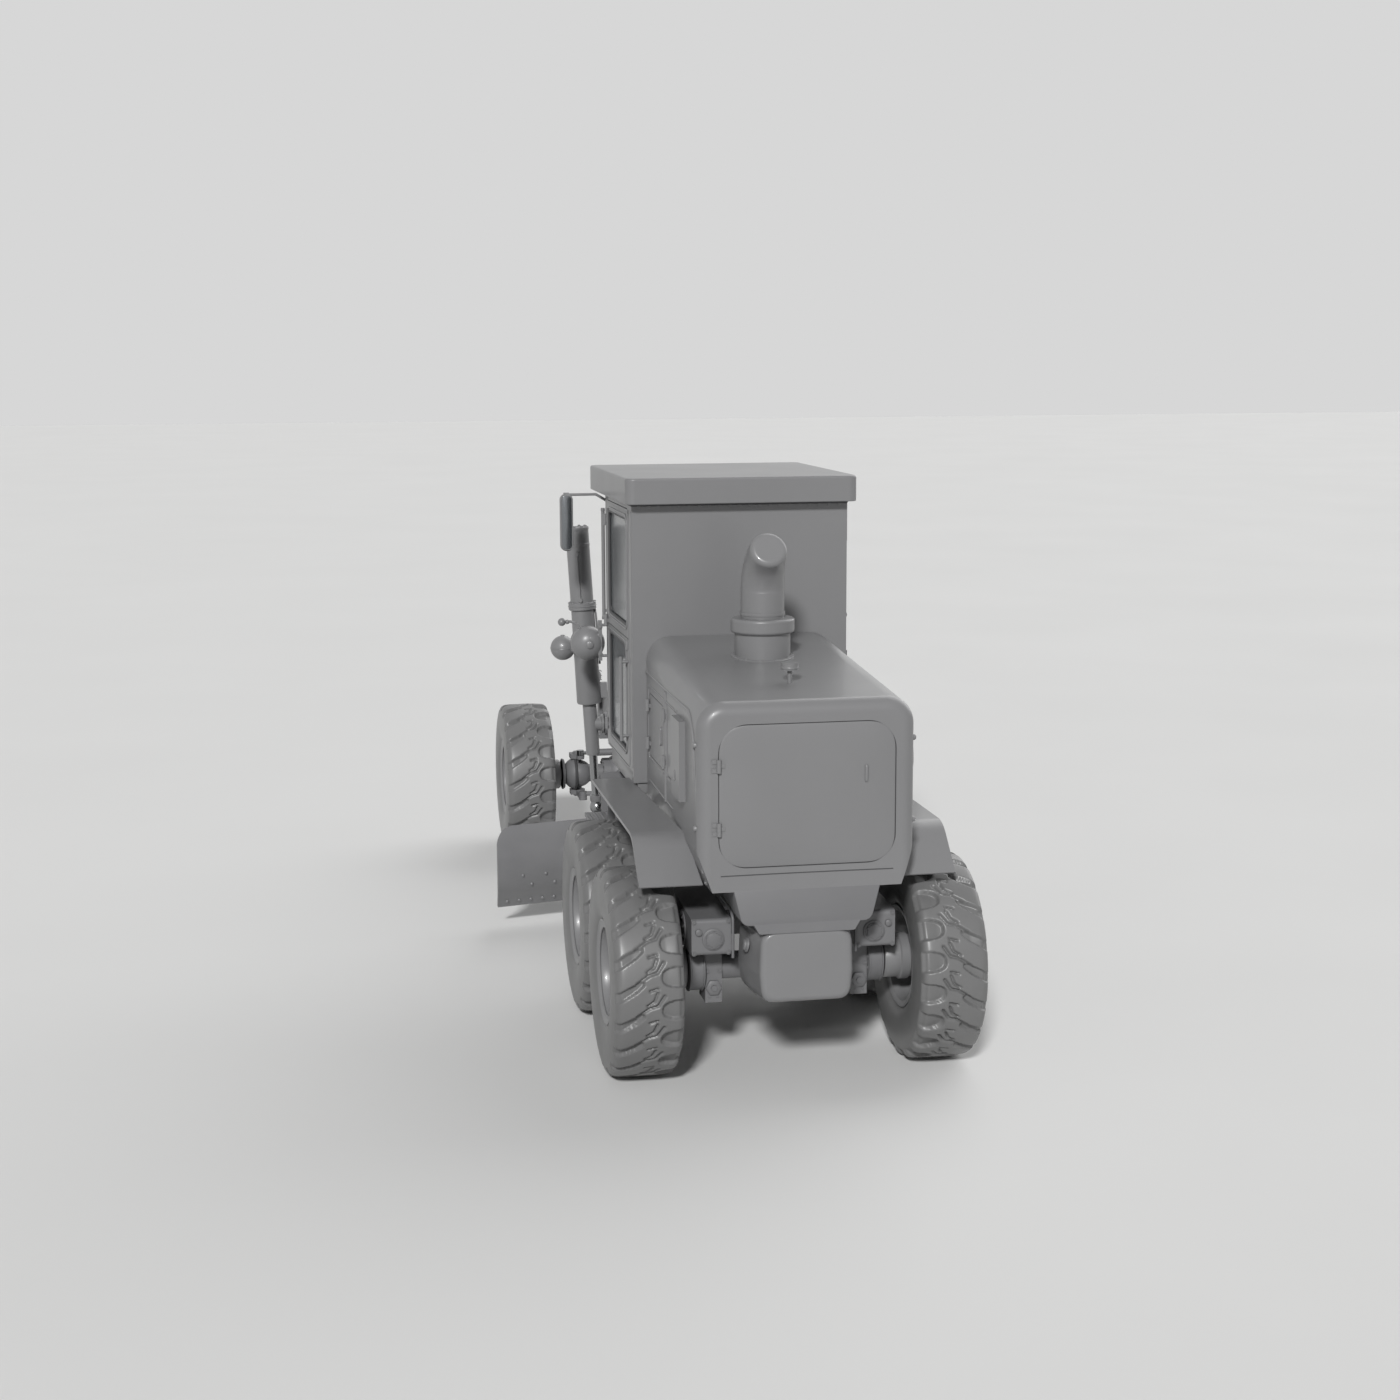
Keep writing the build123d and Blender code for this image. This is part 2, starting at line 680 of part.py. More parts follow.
# Exhaust: base and collar on the hood top, and a stack that bends back to a closed, rounded end
stack_x = -3040.0
stack_root_z = 2700.0
stack_base_r = 205.0
stack_collar_z = (3040.0, 3150.0)
stack_collar_r = 235.0
stack_collar_edge = 22.0
elbow_z = 3340.0
elbow_bend = 340.0
elbow_sections = (
    # degrees bent back, length past the bend, radius
    (0, 0.0, 160.0),
    (20, 0.0, 157.0),
    (40, 0.0, 149.0),
    (58, 0.0, 141.0),
    (58, 80.0, 134.0),
)
elbow_end_edge = 40.0
with BuildPart() as exhaust_stack:
    rings = []
    for degrees, past, radius in elbow_sections:
        bent = math.radians(degrees)
        centre = (
            stack_x - elbow_bend * (1 - math.cos(bent)) - past * math.sin(bent),
            0,
            elbow_z + elbow_bend * math.sin(bent) + past * math.cos(bent),
        )
        across = Plane(origin=centre, x_dir=(0, 1, 0), z_dir=(-math.sin(bent), 0, math.cos(bent)))
        with BuildSketch(across) as ring:
            Circle(radius)
        rings.append(ring.sketch.face())
    loft(rings)
    fillet(exhaust_stack.faces().sort_by(Axis.X)[0].edges(), elbow_end_edge)
    rod((stack_x, 0, stack_collar_z[0]), (stack_x, 0, stack_collar_z[1]), stack_collar_r)
    lips = exhaust_stack.edges().filter_by(GeomType.CIRCLE).sort_by(SortBy.RADIUS)[-2:]
    fillet(lips, stack_collar_edge)
    rod((stack_x, 0, stack_root_z), (stack_x, 0, stack_collar_z[0]), stack_base_r)
    rod((stack_x, 0, stack_collar_z[1]), (stack_x, 0, elbow_z), elbow_sections[0][2])
    split(bisect_by=hood_top_plane, keep=Keep.TOP)
write(exhaust_stack, "exhaust_stack")

# Filler cap on the hood top
cap_x = -3930.0
cap_z = (2890.0, 2940.0)
cap_r = 60.0
cap_stem_r = 17.0
with BuildPart() as filler_cap:
    rod((cap_x, 0, stack_root_z), (cap_x, 0, cap_z[0] + 10), cap_stem_r)
    rod((cap_x, 0, cap_z[0]), (cap_x, 0, cap_z[1]), cap_r)
    split(bisect_by=hood_top_plane, keep=Keep.TOP)
write(filler_cap, "filler_cap")

# Cab shell
cab_plan = (
    (cab_rear_x, -cab_half),
    (cab_corner_x, -cab_half),
    (cab_front_x, -cab_front_half),
    (cab_front_x, cab_front_half),
    (cab_corner_x, cab_half),
    (cab_rear_x, cab_half),
)
cab_quarter = Plane(
    origin=(cab_corner_x, cab_half, 0),
    x_dir=(cab_front_x - cab_corner_x, cab_front_half - cab_half, 0),
    z_dir=(cab_front_half - cab_half, cab_corner_x - cab_front_x, 0),
)
quarter_w = math.hypot(cab_front_x - cab_corner_x, cab_front_half - cab_half)
corner_post = 100.0
quarter_window = ((corner_post, quarter_w - 58.0), (1970.0, 3800.0))
front_windows = (((-460.0, 460.0), (2700.0, 3800.0)), ((-460.0, 460.0), (1990.0, 2600.0)))
glass_inset = 18.0
with BuildPart() as cab_openings:
    opening_x = (door_x[0] - panel_gap, door_x[1] + panel_gap)
    opening_z = (door_z[0] - panel_gap, door_z[1] + panel_gap)
    window(Plane.XZ.offset(-cab_half - 10), opening_x, opening_z, cab_wall + 60, 36)
    window(cab_quarter.offset(-20), *quarter_window, cab_wall + 60, 70)
    mirror(about=Plane.XZ)
    for y, z in front_windows:
        window(Plane.YZ.offset(cab_front_x - cab_wall - 10), y, z, cab_wall + 20, 70)

# Cab floor, and the plain wall behind the seat
cab_wall_x = cab_rear_x + cab_wall
with BuildPart() as cab_floor_pan:
    plan_plate(cab_plan, (cab_bottom, cab_floor))
    split(bisect_by=Plane.YZ.offset(cab_wall_x), keep=Keep.TOP)
write(cab_floor_pan, "cab_floor")

with BuildPart() as cab_rear_panel:
    block((cab_rear_x, cab_wall_x), (-cab_half, cab_half), (cab_bottom, cab_top))
write(cab_rear_panel, "cab_rear_panel")

# Cab sides and front, open for the doors and the fixed glass
with BuildPart() as cab_shell:
    plan_plate(cab_plan, (cab_floor, cab_top), 0)
    with BuildSketch(Plane.XY.offset(cab_floor)) as room:
        with BuildLine():
            Polyline(*cab_plan, close=True)
        make_face()
        offset(amount=-cab_wall, kind=Kind.INTERSECTION, mode=Mode.REPLACE)
    extrude(amount=cab_top - cab_floor, mode=Mode.SUBTRACT)
    split(bisect_by=Plane.YZ.offset(cab_wall_x), keep=Keep.TOP)
    add(cab_openings.part, mode=Mode.SUBTRACT)
    for z in cab_hinge_z:
        for side in (-1, 1):
            hinge_fixed((cab_hinge[0], side * cab_hinge[1]), z, (1, 0), (0, side))
write(cab_shell, "cab_shell")

# Roof: a rounded slab that overhangs the walls
with BuildPart() as cab_roof:
    window(Plane.XY.offset(cab_top), roof_x, (-roof_half, roof_half), roof_top - cab_top, roof_corner)
    fillet(cab_roof.faces().sort_by(Axis.Z)[-1].edges(), roof_edge)
    fillet(cab_roof.faces().sort_by(Axis.Z)[0].edges(), roof_foot_edge)
write(cab_roof, "cab_roof")

# Fixed glass of the cab
with BuildPart() as cab_glass:
    window(cab_quarter.offset(glass_inset), *quarter_window, pane_t, 70)
    mirror(about=Plane.XZ)
    for y, z in front_windows:
        window(Plane.YZ.offset(cab_front_x - glass_inset - pane_t), y, z, pane_t, 70)
write(cab_glass, "cab_glass")

# Doors with an upper and a lower window, a grab bar, and their panes
grab_x = door_x[0] + 33
grab_z = (2080.0, 2740.0)
grab_posts_z = (2120.0, 2700.0)
grab_proud = 55.0
with BuildPart() as cab_door:
    window(Plane.XZ.offset(-cab_half), door_x, door_z, cab_wall, 30)
    for x, z in (door_upper, door_lower):
        window(Plane.XZ.offset(-cab_half - 10), x, z, cab_wall + 20, 80, Mode.SUBTRACT)
    for z in cab_hinge_z:
        hinge_moving(cab_hinge, z, (-1, 0), (0, 1))
    grab_out = cab_half + grab_proud
    for z in grab_posts_z:
        rod((grab_x, cab_half - 5, z), (grab_x, grab_out, z), 12)
    rod((grab_x, grab_out, grab_z[0]), (grab_x, grab_out, grab_z[1]), 14)
write(cab_door, "cab_door_left")
write(mirrored(cab_door), "cab_door_right")

with BuildPart() as door_glass:
    for x, z in (door_upper, door_lower):
        window(Plane.XZ.offset(-cab_half + glass_inset), x, z, pane_t, 80)
write(door_glass, "door_glass_left")
write(mirrored(door_glass), "door_glass_right")

# Seat on its pedestal
seat_x = (-1900.0, -1380.0)
seat_z = (2260.0, 2390.0)
seat_half = 260.0
back_top_z = 3020.0
with BuildPart() as cab_seat:
    block((seat_x[0] + 140, seat_x[1] - 120), (-150, 150), (cab_floor, seat_z[0]))
    window(Plane.XZ.offset(-seat_half), seat_x, seat_z, 2 * seat_half, 40)
    back_foot_z = seat_z[1] - 10
    back = ((seat_x[0] + 110, back_foot_z), (seat_x[0] + 10, back_top_z),
            (seat_x[0] - 80, back_top_z - 20), (seat_x[0] + 10, back_foot_z))
    side_plate(back, (20 - seat_half, seat_half - 20), 30)
write(cab_seat, "cab_seat")

# Console with the steering column and wheel
console_half = 190.0
column_foot = (-820, 0, 2380)
wheel_centre = (-935, 0, 2525)
wheel_rim_r = (176.0, 205.0)
wheel_facets = 24
with BuildPart() as control_console:
    console = ((-820.0, cab_floor), (-640.0, cab_floor), (-640.0, 2400.0), (-760.0, 2440.0), (-900.0, 2380.0))
    side_plate(console, (-console_half, console_half), 20)
    rod(column_foot, wheel_centre, 28)
    wheel_plane = Plane(origin=wheel_centre, z_dir=Vector(wheel_centre) - Vector(column_foot))
    with BuildSketch(wheel_plane.offset(-14)) as wheel_rim:
        RegularPolygon(wheel_rim_r[1], wheel_facets)
        RegularPolygon(wheel_rim_r[0], wheel_facets, mode=Mode.SUBTRACT)
    extrude(wheel_rim.sketch, amount=28)
    with Locations(wheel_plane):
        Box(2 * wheel_rim_r[0] + 20, 34, 14)
write(control_console, "control_console")

# What is fixed to the cab's front corners is cut to its outer face
with BuildPart() as cab_outside:
    plan_plate(cab_plan, (cab_bottom, cab_top))


def quarter_y(x):
    """Return where the cab's left quarter face lies at an x."""
    share = (x - cab_corner_x) / (cab_front_x - cab_corner_x)
    return cab_half + (cab_front_half - cab_half) * share


# Mirrors: tall rounded housings, each hung from one bent arm
mirror_x = -800.0
mirror_y = (1100.0, 1206.0)
mirror_z = (3458.0, 3925.0)
mirror_t = 60.0
mirror_corner = 50.0
mirror_edge = 16.0
mirror_arm_z = 3918.0
mirror_arm_bend = 25.0
mirror_arm_r = 11.0
root_in = 14.0
with BuildPart() as mirrors:
    window(Plane.YZ.offset(mirror_x - mirror_t / 2), mirror_y, mirror_z, mirror_t, mirror_corner)
    fillet(mirrors.faces().filter_by(Axis.X).edges(), mirror_edge)
    middle = sum(mirror_y) / 2
    with BuildLine() as arm_path:
        FilletPolyline(
            (mirror_x, middle, mirror_arm_z - 60),
            (mirror_x, middle, mirror_arm_z),
            (mirror_x, roof_half + 14, mirror_arm_z),
            (mirror_x, quarter_y(mirror_x) - root_in, mirror_arm_z - 76),
            radius=mirror_arm_bend,
        )
    with BuildSketch(Plane(origin=arm_path.line @ 0, z_dir=arm_path.line % 0)):
        Circle(mirror_arm_r)
    sweep(path=arm_path.line)
    add(cab_outside.part, mode=Mode.SUBTRACT)
    mirror(about=Plane.XZ)
write(mirrors, "mirrors")

# Lamps: a bowl-backed work lamp on each front corner of the cab, head lamps over the bolster
lamp_at = (-720.0, 980.0, 2685.0)
lamp_r = 140.0
lamp_depth = (-130.0, -30.0, 30.0)
bracket_x = -800.0
bracket_y = (872.0, 902.0)
bracket_z = (2545.0, 2880.0)
head_lamp_at = (4100.0, 300.0, 1680.0)
head_lamp_r = 95.0
head_lamp_half = 60.0
with BuildPart() as lamps:
    lamp_x, lamp_y, lamp_z = lamp_at
    back, rim_back, face = lamp_depth
    with BuildSketch(Plane(origin=lamp_at, x_dir=(1, 0, 0), z_dir=(0, -1, 0))) as bowl:
        with BuildLine():
            ThreePointArc((back, 0), ((back + rim_back) / 2 - 12, lamp_r * 0.76), (rim_back, lamp_r))
            Polyline((rim_back, lamp_r), (face, lamp_r), (face, 0), (back, 0))
        make_face()
    revolve(bowl.sketch, axis=Axis(lamp_at, (1, 0, 0)))
    block((bracket_x - 15, bracket_x + 15), bracket_y, bracket_z)
    for z in (bracket_z[0] + 40, bracket_z[1] - 40):
        rod((bracket_x, quarter_y(bracket_x) - root_in, z), (bracket_x, bracket_y[0] + 10, z), 12)
    head_x, head_y, head_z = head_lamp_at
    rod((head_x - head_lamp_half, head_y, head_z), (head_x + head_lamp_half, head_y, head_z), head_lamp_r)
    rod((head_x, head_y - 60, head_z - 90), (head_x, head_y, head_z - 90), 16)
    stay = ((head_x - 40, bolster_z[1]), (head_x + 40, bolster_z[1]), (head_x + 30, head_z - 70),
            (head_x - 30, head_z - 70))
    side_plate(stay, (neck_half - 20, head_y + 20))
    add(cab_outside.part, mode=Mode.SUBTRACT)
    mirror(about=Plane.XZ)
write(lamps, "lamps")

# Ladders and hand rails on both sides of the cab
step_x = (-1370.0, -1000.0)
step_y = (860.0, 1060.0)
step_z = (520.0, 900.0, 1280.0)
step_t = 30.0
stile_half = 8.0
stile_depth = 60.0
stile_top = 1640.0
root_z = (1560.0, stile_top)
root_plate_x = (-1385.0, -950.0)
root_plate_t = 10.0
with BuildPart() as access_steps:
    for x in step_x:
        stile_x = (x - stile_half, x + stile_half)
        block(stile_x, (step_y[0], step_y[0] + stile_depth), (step_z[0], stile_top))
        block(stile_x, (cross_member_half, step_y[0]), root_z)
    for z in step_z:
        block(step_x, step_y, (z, z + step_t))
    root_y = (cross_member_half, cross_member_half + root_plate_t)
    block(root_plate_x, root_y, root_z)
    block((cab_corner_x - 260, root_plate_x[1]), root_y, (root_z[0] - 20, root_z[1] + 20))
    mirror(about=Plane.XZ)
write(access_steps, "access_steps")

rail_x = -788.0
rail_out = 62.0
rail_z = (2900.0, 3790.0)
rail_r = 15.0
with BuildPart() as handrails:
    rail_y = quarter_y(rail_x) + rail_out
    rod((rail_x, rail_y, rail_z[0]), (rail_x, rail_y, rail_z[1]), rail_r)
    for z in (rail_z[0] + 60, rail_z[1] - 60):
        rod((rail_x, quarter_y(rail_x) - root_in, z), (rail_x, rail_y, z), 12)
    add(cab_outside.part, mode=Mode.SUBTRACT)
    mirror(about=Plane.XZ)
write(handrails, "handrails")

# Front axle: driving tube with a differential, ending in the steering balls
front_diff_y = 90.0
front_flange = (225.0, 270.0)
front_flange_r = 150.0


def chord(radius, height):
    """Return how far along its axis a ball of a radius is cut at a height."""
    return math.sqrt(radius**2 - height**2)


with BuildPart() as front_axle:
    axle_view = Plane(origin=(front_axle_x, 0, axle_z), x_dir=(0, 1, 0), z_dir=(1, 0, 0))
    with BuildSketch(axle_view) as housing:
        with BuildLine():
            neck = kingpin_y - chord(ball_r, front_tube_r)
            shoulder = front_diff_y + chord(front_diff_r, front_flange_r)
            Line((-kingpin_y - ball_r, 0), (kingpin_y + ball_r, 0))
            ThreePointArc((kingpin_y + ball_r, 0), (kingpin_y, ball_r), (neck, front_tube_r))
            Polyline((neck, front_tube_r), (front_flange[1], front_tube_r), (front_flange[1], front_flange_r),
                     (shoulder, front_flange_r))
            far = front_diff_y - chord(front_diff_r, front_tube_r)
            ThreePointArc((shoulder, front_flange_r), (front_diff_y, front_diff_r), (far, front_tube_r))
            near, end = front_flange
            Polyline((far, front_tube_r), (-near, front_tube_r), (-near, front_flange_r),
                     (-end, front_flange_r), (-end, front_tube_r), (-neck, front_tube_r))
            ThreePointArc((-neck, front_tube_r), (-kingpin_y, ball_r), (-kingpin_y - ball_r, 0))
        make_face()
    revolve(housing.sketch, axis=Axis((front_axle_x, 0, axle_z), (0, 1, 0)))
    for side in (-1, 1):
        pin = (front_axle_x, side * kingpin_y)
        rod((*pin, axle_z - ball_r - 72), (*pin, axle_z + ball_r + 72), kingpin_r)
    # Pad under the frame, and the bracket of the steering cylinder
    block(axle_pad_x, (-axle_pad_half, axle_pad_half), (axle_z, axle_pad_top))
    block((front_axle_x + steer_base_x - 40, front_axle_x), steer_bracket_y, (steer_z - 66, steer_z - 42))
    block((front_axle_x - 60, front_axle_x), steer_bracket_y, (axle_z, steer_z - 42))
write(front_axle, "front_axle")


def steering_point(reach, angle, z):
    """Return a point on the left knuckle's arm, straight back at angle 0."""
    turn = math.radians(angle)
    return front_axle_x - reach * math.cos(turn), kingpin_y + reach * math.sin(turn), z


tie_point = steering_point(tie_arm, 0, tie_z)
steer_point = steering_point(steer_arm, 0, steer_z)
arm_t = 36.0

# Steering knuckle: a cup round the ball, arms behind it, and the wheel spindle
with BuildPart() as knuckle:
    centre = (front_axle_x, kingpin_y, axle_z)
    with Locations(centre):
        Sphere(cup_r, rotation=(0, 90, 0))
    block((front_axle_x - 300, front_axle_x + 300), (kingpin_y - 300, kingpin_y + 36),
          (axle_z - 300, axle_z + 300), Mode.SUBTRACT)
    for low, high in ((axle_z - cup_r - 42, axle_z - cup_r + 8), (axle_z + cup_r - 8, axle_z + cup_r + 42)):
        rod((front_axle_x, kingpin_y, low), (front_axle_x, kingpin_y, high), 62)
        block((front_axle_x - 62, front_axle_x + 62), (kingpin_y, kingpin_y + 90), (low, high))
    # Lower arm to the tie rod and upper arm to the steering cylinder
    low = axle_z - cup_r - 42
    block((tie_point[0], front_axle_x), (kingpin_y - 35, kingpin_y + 35), (low, low + arm_t))
    rod((tie_point[0], kingpin_y, low), (tie_point[0], kingpin_y, low + arm_t), 42)
    high = axle_z + cup_r + 6
    block((steer_point[0], front_axle_x), (kingpin_y - 30, kingpin_y + 30), (high, high + arm_t))
    rod((steer_point[0], kingpin_y, high), (steer_point[0], kingpin_y, high + arm_t), 40)
    rod((front_axle_x, kingpin_y + cup_r - 20, axle_z), (front_axle_x, brake_y[1], axle_z), 150)
    rod((front_axle_x, brake_y[1], axle_z), (front_axle_x, wheel_y - spindle_end, axle_z), spindle_r)
    pin = (front_axle_x, kingpin_y)
    rod((*pin, axle_z - cup_r - 60), (*pin, axle_z + cup_r + 60), kingpin_r + pin_gap, Mode.SUBTRACT)
    rod(tie_point, (tie_point[0], tie_point[1], low - 10), tie_pin_r + pin_gap, Mode.SUBTRACT)
    with Locations(centre):
        Sphere(ball_r + cup_gap, rotation=(0, 90, 0), mode=Mode.SUBTRACT)
write(knuckle, "knuckle_left")
write(mirrored(knuckle), "knuckle_right")

# Tie rod on top of the lower arms, its left end pinned in the left knuckle
with BuildPart() as tie_rod:
    arm_top = axle_z - cup_r - 42 + arm_t
    eye_z = (arm_top + seat_gap, arm_top + 50)
    middle = sum(eye_z) / 2
    for side in (-1, 1):
        rod((tie_point[0], side * kingpin_y, eye_z[0]), (tie_point[0], side * kingpin_y, eye_z[1]), 40)
    rod((tie_point[0], -kingpin_y, middle), (tie_point[0], kingpin_y, middle), tie_r)
    rod((tie_point[0], kingpin_y, eye_z[0]), (tie_point[0], kingpin_y, eye_z[0] - 30), tie_pin_r)
write(tie_rod, "tie_rod")

# Steering cylinder: its tube turns on the axle's bracket, its rod end rides over the upper arm
base = (front_axle_x + steer_base_x, sum(steer_bracket_y) / 2, steer_z)
gland_y = kingpin_y - 152
with BuildPart() as steer_tube:
    rod((base[0], base[1], steer_z - 42 + seat_gap), (base[0], base[1], steer_z + 36), 34)
    rod(base, (base[0], gland_y, steer_z), steer_tube_r)
    bore_from = (base[0], base[1] + 50, steer_z)
    rod(bore_from, (base[0], gland_y + 5, steer_z), steer_rod_r + pin_gap, Mode.SUBTRACT)
write(steer_tube, "steer_tube")

with BuildPart() as steer_rod:
    rod((base[0], base[1] + 180, steer_z), (base[0], kingpin_y, steer_z), steer_rod_r)
    rod((base[0], kingpin_y, steer_z - 22), (base[0], kingpin_y, steer_z + 30), 36)
write(steer_rod, "steer_rod")

# Lift cylinders: a wide sleeve over a narrow neck, hung in a barrel across the arm
lift_axis = Vector(lift_head) - Vector(lift_foot)
foot_at = Vector(lift_foot)


def lift_at(z):
    """Return the point of the left lift cylinder's centre line at a height."""
    share = (z - lift_foot[2]) / (lift_head[2] - lift_foot[2])
    return foot_at + lift_axis * share


lift_pivot = lift_at(lift_pivot_z)
with BuildPart() as lift_tube:
    rod(lift_at(lift_pivot_z - 150), lift_at(lift_sleeve_foot_z), lift_neck_r)
    rod(lift_at(lift_sleeve_foot_z), lift_at(lift_collar_z[0]), lift_lower_r)
    rod(lift_at(lift_collar_z[0]), lift_at(lift_collar_z[1]), lift_collar_r)
    rod(lift_at(lift_collar_z[1]), lift_head, lift_sleeve_r)
    with Locations(sphere_at):
        Sphere(sphere_r)
    rod(lift_at(sphere_at[2]), sphere_at, sphere_stub_r)
    barrel_from = (lift_x, lift_arm_y[1] + panel_gap, lift_pivot_z)
    rod(barrel_from, (lift_x, 1010, lift_pivot_z), lift_barrel_r)
    rod((lift_x, trunnion_y + 10, lift_pivot_z), barrel_from, trunnion_r)
    rod(lift_at(lift_pivot_z - 160), lift_at(lift_head[2] - 60), lift_rod_r + pin_gap, Mode.SUBTRACT)
write(lift_tube, "lift_tube_left")
write(mirrored(lift_tube), "lift_tube_right")

lift_ball_r = 62.0
with BuildPart() as lift_rod:
    rod(lift_foot, lift_at(lift_pivot_z + 700), lift_rod_r)
    with Locations(lift_foot):
        Sphere(lift_ball_r, rotation=(0, 90, 0))
    rod(lift_foot, lift_at(lift_foot[2] + 110), 50)
write(lift_rod, "lift_rod_left")
write(mirrored(lift_rod), "lift_rod_right")

# Drawbar: a V frame from the front ball to the cross beam that the cylinders hold
draw_outer = ((2760, 70), (1500, 330), (100, 600), (-60, 600), (-210, 600))
draw_hole = ((2250, 0), (1500, 190), (160, 430), (0, 430), (0, -430), (160, -430), (1500, -190))
outrigger_z = (draw_z[0], draw_z[0] + 40)
with BuildPart() as drawbar:
    plan_plate(draw_outer + tuple((x, -y) for x, y in reversed(draw_outer)), draw_z)
    plan_plate(draw_hole, (draw_z[0] - 5, draw_z[1] + 5), 0, Mode.SUBTRACT)
    for side in (-1, 1):
        wing = ((-40, side * 590), (-60, side * 900), (-220, side * 900), (-210, side * 590))
        plan_plate(wing, outrigger_z)
        foot = (lift_foot[0], side * lift_foot[1])
        rod((*foot, outrigger_z[1]), (*foot, outrigger_z[1] + 6), 46)
    rod((2700, 0, sum(draw_z) / 2), draw_ball, draw_neck_r)
    with Locations(draw_ball):
        Sphere(draw_ball_r, rotation=(90, 0, 0))
write(drawbar, "drawbar")

# Shoes that hold the circle up under the V frame
shoe_half = 50.0
with BuildPart() as circle_shoes:
    for x, y in ((1235, 300), (1235, -300), (circle_x - 640, 150), (circle_x - 640, -150)):
        shoe_z = (circle_z[1] + seat_gap, draw_z[0])
        block((x - shoe_half, x + shoe_half), (y - shoe_half, y + shoe_half), shoe_z)
write(circle_shoes, "circle_shoes")

# Circle: toothed ring, two arms down to the blade's rails, in the blade's turned frame
turned = Plane(origin=(circle_x, 0, 0), x_dir=(math.cos(math.radians(blade_yaw)),
               math.sin(math.radians(blade_yaw)), 0), z_dir=(0, 0, 1))
arm_y = (560.0, 610.0)
arm_front = -115.0
arm_back = -360.0
rail_depth = (-190.0, -75.0)
rail_heights = ((400.0, 460.0), (700.0, 760.0))
shift_x = -275.0
shift_z = 585.0
shift_tube_r = 46.0
shift_rod_r = 22.0
shift_tube_y = (-arm_y[0], 400.0)
shift_rod_y = (-80.0, 1075.0)


def turned_point(x, y, z):
    """Return a point given in the blade's turned frame."""
    return turned.from_local_coords(Vector(x, y, z))


def turned_side(y):
    """Return the plane of the blade's section at a place along the blade."""
    return Plane(origin=turned_point(0, y, 0), x_dir=turned.x_dir, z_dir=-turned.y_dir)


with BuildPart() as circle:
    rod((circle_x, 0, circle_z[0]), (circle_x, 0, circle_z[1]), circle_r)
    rod((circle_x, 0, circle_z[0] - 1), (circle_x, 0, circle_z[1] + 1), circle_bore_r, Mode.SUBTRACT)
    arm = ((arm_front, circle_z[0]), (arm_back + 40, circle_z[0]), (arm_back, 700), (arm_back, 480),
           (arm_back + 80, 360), (arm_front, 360))
    width = arm_y[1] - arm_y[0]
    for y in (-arm_y[0], arm_y[1]):
        prism(turned_side(y), arm, width)
    # Notches for the rails, and the way of the shift rod through the left arm
    back, front = rail_depth
    for low, high in rail_heights:
        notch = ((back - seat_gap, low - seat_gap), (0, low - seat_gap),
                 (0, high + seat_gap), (back - seat_gap, high + seat_gap))
        prism(turned_side(arm_y[1] + 5), notch, 2 * arm_y[1] + 10, 0, Mode.SUBTRACT)
    rod(turned_point(shift_x, arm_y[0] - 5, shift_z), turned_point(shift_x, arm_y[1] + 5, shift_z),
        shift_rod_r + 8, Mode.SUBTRACT)
write(circle, "circle")

# Blade: curved board with a cutting edge, end bits, and two rails behind it
board_foot = (95.0, blade_z[0] + 90)
board_top = (100.0, blade_z[1])
board_mid = (-85.0, sum(blade_z) / 2)
with BuildPart() as blade:
    half = blade_len / 2
    with BuildSketch(turned_side(half)) as section:
        with BuildLine():
            top_back = (board_top[0] - blade_t, board_top[1])
            foot_back = (board_foot[0] - blade_t, board_foot[1])
            ThreePointArc(board_foot, board_mid, board_top)
            Line(board_top, top_back)
            ThreePointArc(top_back, (board_mid[0] - blade_t, board_mid[1]), foot_back)
            Line(foot_back, board_foot)
        make_face()
    extrude(section.sketch, amount=blade_len)
    edge = ((board_foot[0] - 3, board_foot[1] + 40), (board_foot[0] - 22, board_foot[1] + 40),
            (board_foot[0] - 4, blade_z[0]), (board_foot[0] + 18, blade_z[0]))
    prism(turned_side(half + 20), edge, blade_len + 40)
    for low, high in rail_heights:
        rail = ((rail_depth[0], low), (rail_depth[1], low), (rail_depth[1], high), (rail_depth[0], high))
        prism(turned_side(half - 250), rail, blade_len - 500)
    window(turned_side(shift_rod_y[1] + 30), (shift_x - 40, -80), (shift_z - 40, shift_z + 40), 30, 20)
write(blade, "blade")

# Side-shift cylinder: the tube on the right arm, the rod on the blade's lug
def shift_at(y):
    """Return the point of the side-shift cylinder's centre line at a place along the blade."""
    return turned_point(shift_x, y, shift_z)


with BuildPart() as shift_tube:
    rod(shift_at(shift_tube_y[0]), shift_at(shift_tube_y[1]), shift_tube_r)
    bore = shift_rod_r + pin_gap
    rod(shift_at(shift_tube_y[0] + 15), shift_at(shift_tube_y[1] + 5), bore, Mode.SUBTRACT)
write(shift_tube, "shift_tube")

with BuildPart() as shift_rod:
    rod(shift_at(shift_rod_y[0]), shift_at(shift_rod_y[1]), shift_rod_r)
write(shift_rod, "shift_rod")
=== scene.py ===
"""A motor grader in sprayed grey enamel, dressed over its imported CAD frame. Metres, +X forward, +Y left, +Z up."""

import logging
import math
from dataclasses import dataclass
from enum import Enum
from typing import Iterable, Sequence

import bmesh
import bpy
import numpy as np
from mathutils import Matrix, Vector


